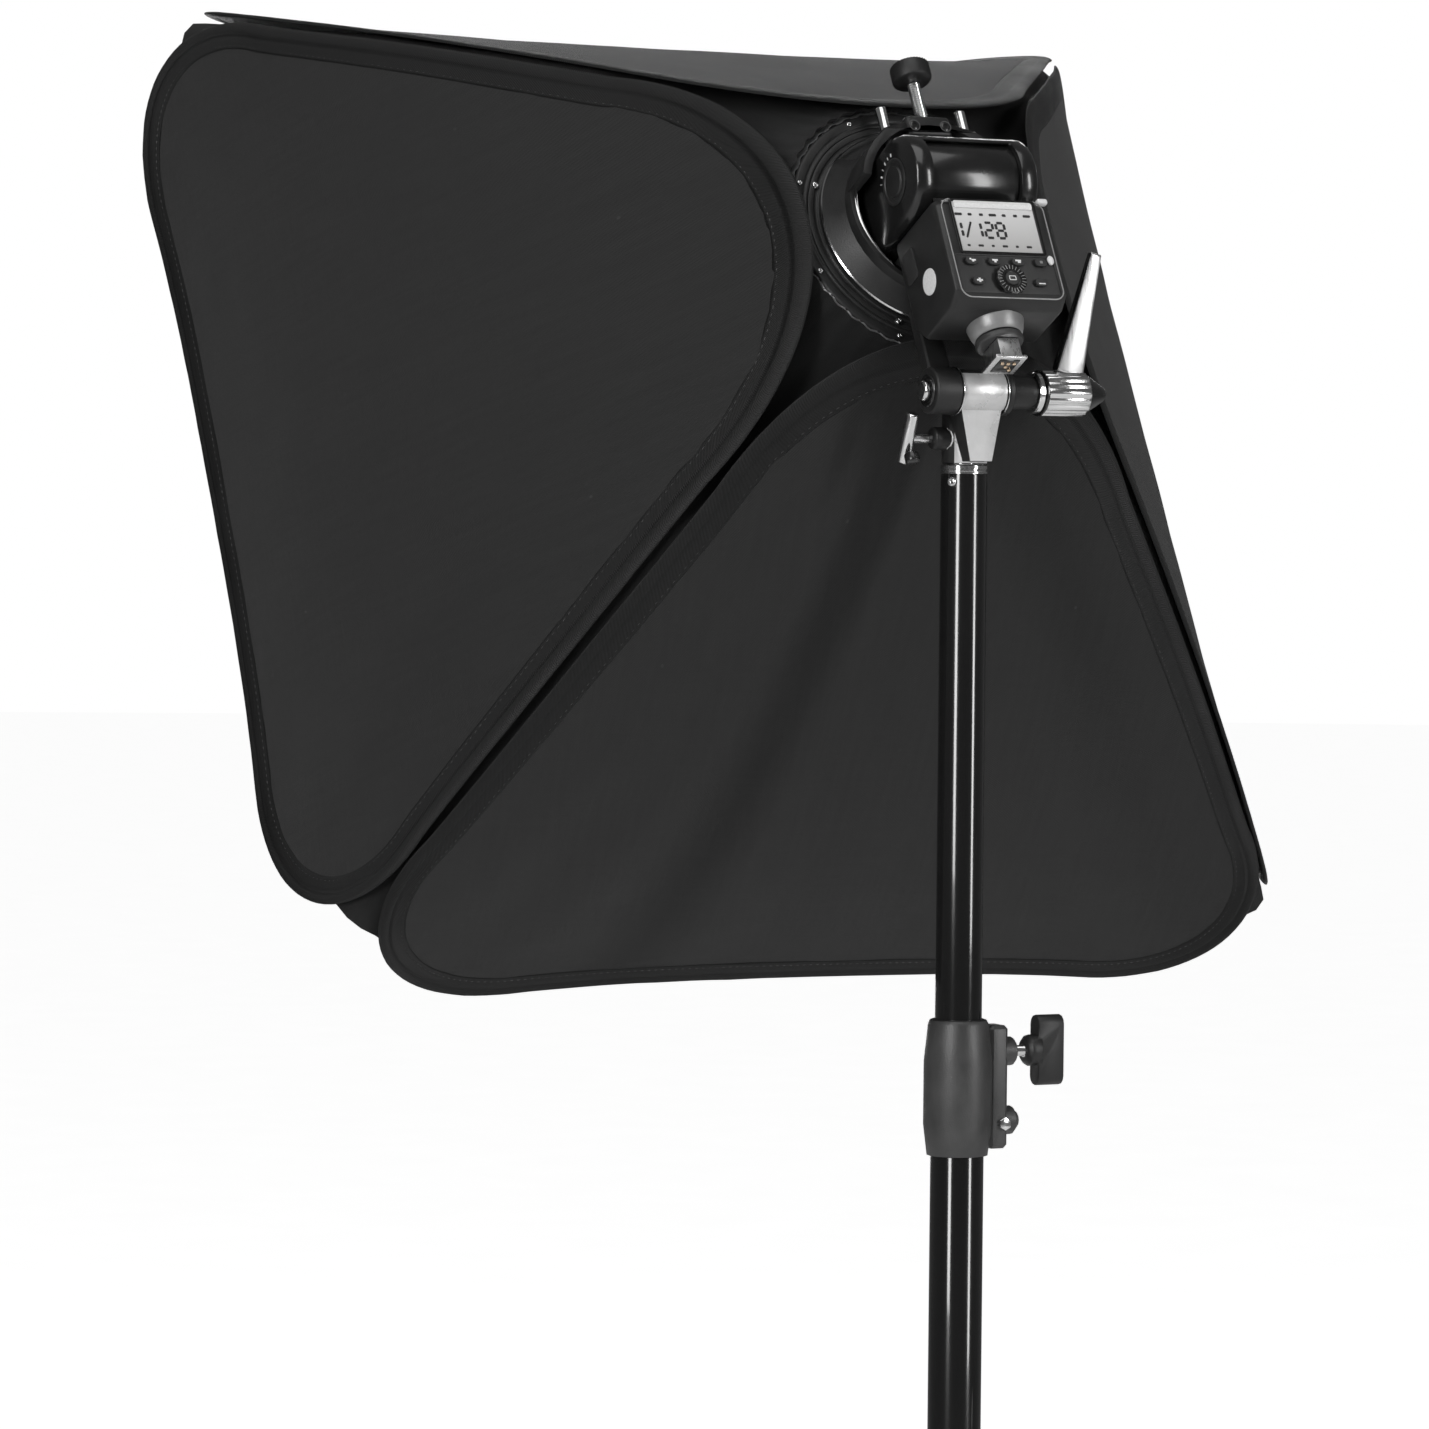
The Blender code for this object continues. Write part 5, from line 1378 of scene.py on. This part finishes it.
def makeClampJaw():
    refine("lower_pad", "lowerPad", footRubber, 0.0005)
    refine("clamp_plate", "clampJaw", castDark, 0.0005, nickel, onGuidePin)
    refine("ring_lock_pin", "ringLockPin", nickel, 0.0003)
    # the knurled knob and its bright screw
    top = clampKnob["top"]
    profile = [
        (0.0042, 0.0745), (0.0056, 0.0750), (0.0098, 0.0756), (0.0107, 0.0764), (0.0109, 0.0774),
        (0.0109, 0.0843), (0.0107, 0.0853), (0.0097, top - 0.0003), (0.0080, top), (0.0070, top - 0.0008),
        (0.0004, top - 0.0010),
    ]
    knob = turned("clampKnob", profile, 72)
    knurl(knob, clampKnob["grip"], clampKnob["flute"], clampKnob["flutes"])
    place = headPlace @ at(0, clampKnob["back"], 0)
    settle(knob, "clamp_knob", grainBlack, ["clamp_knob"], place)
    threads = [(0.0030, 0.0302)]
    for k in range(clampKnob["threads"]):
        height = clampKnob["threadLow"] + k * clampKnob["pitch"]
        threads += [(clampKnob["crest"], height), (clampKnob["root"], height + clampKnob["pitch"] / 2)]
    threads += [(clampKnob["root"], 0.0752)]
    settle(turned("clampScrew", threads, 32), "clamp_knob", nickel, place=place)


# Outlines turned about the tilt bolt: radius and place along it
tiltRings = {
    "drumCollar": {"finish": nickel, "profile": [
        (0.0046, -0.0366), (0.0104, -0.0366), (0.0112, -0.0360), (0.0112, -0.0338), (0.0106, -0.0332),
        (0.0046, -0.0332),
    ]},
    "drumWasher": {"finish": smoothBlack, "profile": [
        (0.0046, -0.0384), (0.0120, -0.0384), (0.0123, -0.0380), (0.0123, -0.0372), (0.0118, -0.0368),
        (0.0046, -0.0368),
    ]},
    "drumCone": {"finish": smoothBlack, "profile": [
        (0.0046, -0.0646), (0.0108, -0.0648), (0.0100, -0.0664), (0.0072, -0.0712), (0.0040, -0.0764),
        (0.0030, -0.0775), (0.0018, -0.0779), (0.0010, -0.0779),
    ]},
}
tilt = {
    "washers": (0.01322, -0.01378), "washerThick": 0.00056, "boltHole": 0.0046, "washerRadius": 0.0128,
    "fluteFrom": 0.0114, "flute": 0.0011, "flutes": 32,
    "leverWide": 0.0168, "leverThick": 0.0066, "leverLow": 0.0108, "leverHigh": 0.0776, "leverEdge": 0.0016,
    "tipWide": 0.40, "tipThick": 0.72, "leverAt": -0.0525, "leverLean": -14,
}


def makeTilt():
    side = Matrix.Translation(joints["head_tilt"]["pos_m"]) @ turnToSide
    refine("tilt_arm", "tiltArm", castDark, 0.0005)
    refine("tilt_bolt", "tiltBolt", nickel, 0.0003)
    hole, wide, thick = tilt["boltHole"], tilt["washerRadius"], tilt["washerThick"]
    for k, start in enumerate(tilt["washers"]):
        profile = [
            (hole, start), (wide, start), (wide + 0.0003, start + thick / 2), (wide, start + thick),
            (hole, start + thick),
        ]
        washer = turned("tiltWasher_%d" % k, profile, 64, closed=True)
        settle(washer, "tilt_head", nickel, place=side)
    profile = [(0.0062, 0.0284), (0.0086, 0.0284), (0.0088, 0.0294), (0.0082, 0.0300), (0.0064, 0.0296)]
    cup = turned("boltCup", profile, 56, closed=True, edge=0.0001)
    settle(cup, "tilt_head", smoothBlack, place=side)
    # bright collar, black washer and black cone, then the fluted bright drum between them
    for name, ring in tiltRings.items():
        piece = turned(name, ring["profile"], 64, closed=True)
        settle(piece, "tilt_handle", ring["finish"], place=side)
    profile = [
        (hole, -0.0646), (0.0108, -0.0646), (0.0118, -0.0640), (0.0120, -0.0632), (0.0120, -0.0396),
        (0.0116, -0.0388), (hole, -0.0388),
    ]
    drum = turned("tiltDrum", profile, 64, closed=True)
    knurl(drum, tilt["fluteFrom"], tilt["flute"], tilt["flutes"])
    settle(drum, "tilt_handle", nickel, ["tilt_drum"], side)


def makeTiltLever():
    # a flat blade, narrower and thinner at its tip
    middle = (tilt["leverLow"] + tilt["leverHigh"]) / 2
    size = (tilt["leverWide"], tilt["leverThick"], tilt["leverHigh"] - tilt["leverLow"])
    blade = slab("tiltLever", size, (0, 0, middle), tilt["leverEdge"], 3)
    makeActive(blade)
    bpy.ops.object.mode_set(mode="EDIT")
    bm = bmesh.from_edit_mesh(blade.data)
    for vertex in bm.verts:
        vertex.select = vertex.co.z > middle
    bm.select_flush_mode()
    bmesh.update_edit_mesh(blade.data)
    bpy.ops.transform.resize(value=(tilt["tipWide"], tilt["tipThick"], 1), center_override=(0, 0, 0))
    bpy.ops.object.mode_set(mode="OBJECT")
    root = Vector(joints["head_tilt"]["pos_m"]) + Vector((tilt["leverAt"], 0, 0))
    lean = Matrix.Translation(root) @ Matrix.Rotation(math.radians(tilt["leverLean"]), 4, "Y")
    settle(blade, "tilt_handle", brushedSteel, ["tilt_lever"], lean)
    # the blade's faces toward +x take the black finish: painted shade down that side of the bright blade
    blade.data.materials.append(smoothBlack)
    for face in blade.data.polygons:
        if face.normal.x > 0.5:
            face.material_index = 1


socket = {"faceHalf": 0.0125, "barAt": (0.0338, 0, 1.3676), "barBack": 0.0047, "barInset": 0.0036}


# the socket's faces toward +y take the pale satin instead of the dark cast finish: a machined flat, with a
# painted highlight on it
def onBrightFace(point, normal):
    return normal.y > 0.6 and abs(point.x) < socket["faceHalf"]


def makeSocket():
    refine("socket_body", "tiltSocket", castDark, 0.0006, satinBright, onBrightFace)
    refine("socket_screw", "socketScrew", nickel, 0.0003)
    # black tip on the lower end of the screw's crossbar
    start = Vector(socket["barAt"])
    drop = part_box("socket_screw")[0].z - start.z + socket["barInset"]
    lean = Vector((0.0, socket["barBack"], drop)).normalized()
    turn = Vector((0, 0, 1)).rotation_difference(lean).to_matrix().to_4x4()
    profile = [(0.0038, 0.0092), (0.0041, 0.0098), (0.0041, 0.0138), (0.0036, 0.0145), (0.0004, 0.0146)]
    tip = turned("screwTip", profile, 36, edge=0.0001)
    settle(tip, "socket_screw", smoothBlack, place=Matrix.Translation(start) @ turn)


makeRings()
makeArch()
makeClampJaw()
makeTilt()
makeTiltLever()
makeSocket()
print("bracket made")


# The flash unit: its head and neck, the body with the display and the keys, the door and the shoe
display = {
    "digitHeight": 0.0092, "digitWidth": 0.0048, "stroke": 0.0014, "face": 0.02808, "ink": 0.00014,
    "middle": -0.0452, "first": -0.0238, "slashAt": -0.0173, "slash": (0.0011, 0.0104), "slashLean": -24,
    "digitsFrom": -0.0122, "digitPitch": 0.0070,
    "upperFrom": -0.0215, "upperPitch": 0.0068, "upperRow": -0.0358,
    "lowerFrom": -0.0195, "lowerPitch": 0.0072, "lowerRow": -0.0547,
    "stripe": (0.0470, 0.0042), "stripeAt": -0.0300,
}
strokes = {  # a digit's dark bars: top, upper left, upper right, middle, lower left, lower right, foot
    "1": (0, 0, 1, 0, 0, 1, 0), "2": (1, 0, 1, 1, 1, 0, 1), "8": (1, 1, 1, 1, 1, 1, 1),
}


def inkBar(x, z, width, height, lean=0.0):
    # a flat bar of ink on the display; x is counted to the viewer's right
    piece = slab("bar", (width, display["ink"], height), (0, 0, 0), min(width, height) * 0.2, 1)
    piece.data.transform(at(-x, display["face"], z) @ Matrix.Rotation(lean, 4, "Y"))
    return piece


def digit(symbol, x, z):
    w, h, t = display["digitWidth"], display["digitHeight"], display["stroke"]
    spots = [
        (x, z + h / 2, w - t, t), (x - w / 2, z + h / 4, t, h / 2 - t), (x + w / 2, z + h / 4, t, h / 2 - t),
        (x, z, w - t, t), (x - w / 2, z - h / 4, t, h / 2 - t), (x + w / 2, z - h / 4, t, h / 2 - t),
        (x, z - h / 2, w - t, t),
    ]
    return [inkBar(*spot) for spot, dark in zip(spots, strokes[symbol]) if dark]


def makeDisplayMarks():
    bars = digit("1", display["first"], display["middle"])
    lean = math.radians(display["slashLean"])
    bars.append(inkBar(display["slashAt"], display["middle"], *display["slash"], lean))
    for k, symbol in enumerate("128"):
        bars += digit(symbol, display["digitsFrom"] + display["digitPitch"] * k, display["middle"])
    for k in range(7):
        x = display["upperFrom"] + display["upperPitch"] * k
        bars.append(inkBar(x, display["upperRow"], 0.0022 if k % 3 else 0.0042, 0.0014))
    for k in range(6):
        x = display["lowerFrom"] + display["lowerPitch"] * k
        bars.append(inkBar(x, display["lowerRow"], 0.0030 if k % 2 else 0.0016, 0.0012))
    settle(joined("displaySegments", bars), "flash_body", segmentInk, place=headPlace)
    stripe = inkBar(0.0, display["stripeAt"], *display["stripe"])
    settle(stripe, "flash_body", markWhite, place=headPlace)


flashHead = {
    "capOut": 0.0375, "capProfile": [
        (0.0125, -0.0003), (0.0128, 0.0004), (0.0120, 0.0009), (0.0105, 0.0007), (0.0100, 0.0002),
        (0.0086, 0.0002), (0.0080, 0.0011), (0.0060, 0.0014), (0.0004, 0.0015),
    ],
    "frame": (0.0350, 0.0220, 0.0022, 0.0012, 0.0018), "frameBack": -0.0792,
    "panelTab": (0.030, 0.0020, 0.0012), "panelTabAt": (0, -0.0788, 0.0238),
    "ticks": 6, "tickOut": 0.0376, "tickUp": 0.0150, "tickPitch": 15, "tickFirst": -10,
}


def makeFlashHead():
    refine("flash_head", "flashHead", smoothBlack, 0.0011)
    refine("flash_neck", "flashNeck", smoothBlack, 0.0009)
    refine("flash_lens", "flashLens", ribbedLens, 0.0006)
    spots = []
    for side, letter in ((1, "a"), (-1, "b")):
        turn = Matrix.Rotation(math.radians(90 * side), 4, "Y")
        place = headPlace @ at(side * flashHead["capOut"], 0, 0) @ turn
        spots.append(("hingeCap_" + letter, "flash_head", place))
    cover = turned("hingeCap", flashHead["capProfile"], 56)
    settleCopies(cover, grainBlack, spots)
    frameLine = plate("lensFrame", *flashHead["frame"])
    place = headPlace @ at(0, flashHead["frameBack"], 0)
    settle(frameLine, "flash_head", grainBlack, place=place)
    tab = slab("bouncePanelTab", flashHead["panelTab"], flashHead["panelTabAt"], 0.0004)
    settle(tab, "flash_head", markWhite, place=headPlace)
    # index ticks beside the hinge, every second one longer
    ticks = []
    for k in range(flashHead["ticks"]):
        long = 0.0010 if k % 2 == 0 else 0.0004
        tick = slab("tick", (0.0002, long, 0.0018), (0, 0, 0), 0.00004, 1)
        turn = Matrix.Rotation(math.radians(k * flashHead["tickPitch"] + flashHead["tickFirst"]), 4, "X")
        tick.data.transform(turn @ at(flashHead["tickOut"], 0, flashHead["tickUp"]))
        ticks.append(tick)
    settle(joined("hingeTicks", ticks), "flash_head", markWhite, place=headPlace)


flashBody = {
    "half": 0.0340, "stemBack": 0.003,
    # half width, half height, corner, thickness and line of each raised frame
    "panelLine": (0.0308, 0.0300, 0.0062, 0.0007, 0.0007), "panelLineAt": (0, 0.0277, -0.0564),
    "bezel": (0.0256, 0.0166, 0.0014, 0.0008, 0.0014), "bezelAt": (0, 0.0278, -0.0432),
    "ledge": (0.0560, 0.0016, 0.0012), "ledgeAt": (0, 0.0250, -0.0266),
    "tab": (0.0062, 0.0040, 0.0034), "tabAt": (-0.0362, 0.0195, -0.0215),
    "lampAt": (-0.0272, 0.0281, -0.0625), "lampStretch": 1.5,
    "badgeAt": (0.005, -0.064), "flap": (0.0060, 0.0090, 0.0020, 0.0010), "flapAt": (-0.010, -0.046),
}
bodyOutlines = {
    "lamp": [(0.0018, -0.0004), (0.0018, 0.0005), (0.0014, 0.0010), (0.0007, 0.0013), (0.0002, 0.0013)],
    "badge": [(0.0070, -0.0003), (0.0072, 0.0002), (0.0070, 0.0005), (0.0060, 0.0006), (0.0004, 0.0007)],
    "collar": [
        (0.0124, -0.0961), (0.0132, -0.0955), (0.0142, -0.0932), (0.0153, -0.0890), (0.0156, -0.0872),
        (0.0150, -0.0866), (0.0138, -0.0900), (0.0124, -0.0950),
    ],
}


def makeFlashBody():
    refine("flash_body", "flashBody", grainBlack, 0.0012)
    refine("display", "displayWindow", displayGlass, 0.0001)
    line = plate("panelLine", *flashBody["panelLine"])
    settle(line, "flash_body", satinGrey, place=headPlace @ at(*flashBody["panelLineAt"]))
    bezel = plate("displayBezel", *flashBody["bezel"])
    settle(bezel, "flash_body", smoothBlack, place=headPlace @ at(*flashBody["bezelAt"]))
    ledge = slab("topLedge", flashBody["ledge"], flashBody["ledgeAt"], 0.0005)
    settle(ledge, "flash_body", satinGrey, place=headPlace)
    makeDisplayMarks()
    # the release tab is coloured white where the light catches it: a painted highlight on the tab
    tab = slab("releaseTab", flashBody["tab"], flashBody["tabAt"], 0.0012, 3)
    settle(tab, "flash_body", markWhite, place=headPlace)
    lamp = turned("readyLamp", bodyOutlines["lamp"], 28)
    lamp.data.transform(Matrix.Diagonal((1.0, flashBody["lampStretch"], 1.0, 1.0)))
    place = headPlace @ at(*flashBody["lampAt"]) @ turnToBack
    settle(lamp, "flash_body", markWhite, place=place)
    badge = turned("sideBadge", bodyOutlines["badge"], 64)
    place = headPlace @ at(flashBody["half"], *flashBody["badgeAt"]) @ turnToSide
    settle(badge, "flash_body", badgeWhite, place=place)
    flap = plate("portFlap", *flashBody["flap"])
    place = headPlace @ at(flashBody["half"] - 0.0004, *flashBody["flapAt"])
    settle(flap, "flash_body", keyRubber, place=place @ Matrix.Rotation(math.radians(-90), 4, "Z"))
    collar = turned("bodyCollar", bodyOutlines["collar"], 72, closed=True, edge=0.0001)
    place = headPlace @ at(0, flashBody["stemBack"], 0)
    settle(collar, "flash_body", satinGrey, place=place)


keys = {
    "top": 0.0294, "ink": 0.0002, "sink": 0.00005,
    # the plain marks on each key, without meaning: place across and up, width and height
    "marks": {
        1: [
            (-0.0010, 0.0006, 0.0010, 0.0010), (0.0008, 0.0, 0.0026, 0.0010),
            (0.0004, -0.0007, 0.0012, 0.0008),
        ],
        2: [(0.0, 0.0004, 0.0034, 0.0010), (0.0, -0.0004, 0.0014, 0.0014)],
        3: [(-0.0002, 0.0005, 0.0034, 0.0010), (0.0003, -0.0005, 0.0018, 0.0010)],
        4: [(0.0, 0.0, 0.0016, 0.0016)],
        5: [(0.0, 0.0, 0.0036, 0.0010), (0.0, 0.0, 0.0012, 0.0026)],
        6: [(0.0, -0.0010, 0.0040, 0.0007)],
    },
}
dial = {
    "ridges": 24, "ridge": (0.0004, 0.00024, 0.0024), "ridgeOut": 0.0070,
    "mark": (0.0021, 0.0014, 0.0006, 0.0002, 0.0005),
}


def centreOf(node):
    low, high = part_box(node)
    return toHead @ ((low + high) / 2)


def frontOf(node):
    return max((toHead @ vertex.co).y for vertex in nodes[node].data.vertices)


def makeKeys():
    for number, shapes in keys["marks"].items():
        node = "button_%d" % number
        refine(node, "key_%d" % number, keyRubber, 0.0004)
        centre = centreOf(node)
        parts = []
        for x, z, width, height in shapes:
            spot = (centre.x - x, keys["top"] + keys["sink"], centre.z + z)
            parts.append(slab("mark", (width, keys["ink"], height), spot, 0.00008, 1))
        finish = satinGrey if number == 4 else markWhite
        settle(joined("keyMark_%d" % number, parts), node, finish, place=headPlace)


def makeDial():
    refine("control_dial", "controlDial", smoothBlack, 0.0002)
    refine("dial_button", "dialButton", keyRubber, 0.0004)
    centre = centreOf("dial_button")
    front = frontOf("control_dial")
    ridges = []
    for k in range(dial["ridges"]):
        ridge = slab("tick", dial["ridge"], (0, front + 0.00002, dial["ridgeOut"]), 0.00008, 1)
        turn = Matrix.Rotation(2 * math.pi * k / dial["ridges"], 4, "Y")
        ridge.data.transform(at(centre.x, 0, centre.z) @ turn)
        ridges.append(ridge)
    settle(joined("dialRidges", ridges), "control_dial", satinGrey, place=headPlace)
    mark = plate("dialMark", *dial["mark"])
    place = headPlace @ at(centre.x, frontOf("dial_button") - 0.0001, centre.z)
    settle(mark, "dial_button", markWhite, place=place)


doorGrip = {
    "ridges": 6, "size": (0.0008, 0.0110, 0.0008), "across": -0.0341, "back": 0.0020, "top": -0.0690,
    "pitch": 0.0016,
}


def makeDoor():
    refine("battery_door", "batteryDoor", grainBlack, 0.0003)
    ridges = []
    for k in range(doorGrip["ridges"]):
        spot = (doorGrip["across"], doorGrip["back"], doorGrip["top"] - k * doorGrip["pitch"])
        ridges.append(slab("ridge", doorGrip["size"], spot, 0.0003))
    settle(joined("doorGrip", ridges), "battery_door", grainBlack, place=headPlace)


shoe = {
    "ringProfile": [
        (0.0066, -0.1004), (0.0122, -0.1004), (0.0130, -0.0996), (0.0130, -0.0974), (0.0122, -0.0966),
        (0.0066, -0.0966),
    ],
    "teeth": 96, "toothFrom": 0.0126, "tooth": 0.0005, "stemBack": 0.003,
    "bed": (0.0120, 0.0130, 0.0008), "bedAt": (0, 0.003, -0.1126), "pinAt": -0.1130,
    "pins": [(0, 0.003), (-0.0035, 0.0065), (0.0035, 0.0065), (0, 0.0065), (-0.0035, 0.0)],
    "pinProfile": [(0.0011, -0.0002), (0.0011, 0.0005), (0.0008, 0.0009), (0.0002, 0.0010)],
}


def makeShoe():
    ring = turned("footLockRing", shoe["ringProfile"], shoe["teeth"], closed=True)
    knurl(ring, shoe["toothFrom"], shoe["tooth"], shoe["teeth"])
    place = headPlace @ at(0, shoe["stemBack"], 0)
    settle(ring, "foot_lock_ring", castMid, ["foot_lock_ring"], place)
    refine("hot_shoe_foot", "shoeFoot", brushedSteel, 0.0003)
    bed = slab("contactBed", shoe["bed"], shoe["bedAt"], 0.0003)
    settle(bed, "flash_body", smoothBlack, place=headPlace)
    flipDown = Matrix.Rotation(math.pi, 4, "X")
    spots = []
    for k, (x, y) in enumerate(shoe["pins"]):
        place = headPlace @ at(x, y, shoe["pinAt"]) @ flipDown
        spots.append(("contactPin_%d" % k, "flash_body", place))
    pin = turned("contactPin", shoe["pinProfile"], 24)
    settleCopies(pin, goldContact, spots)


makeFlashHead()
makeFlashBody()
makeKeys()
makeDial()
makeDoor()
makeShoe()
print("flash unit made")

for name, node in nodes.items():
    if not node.hide_render:
        print("still a bare solid:", name)
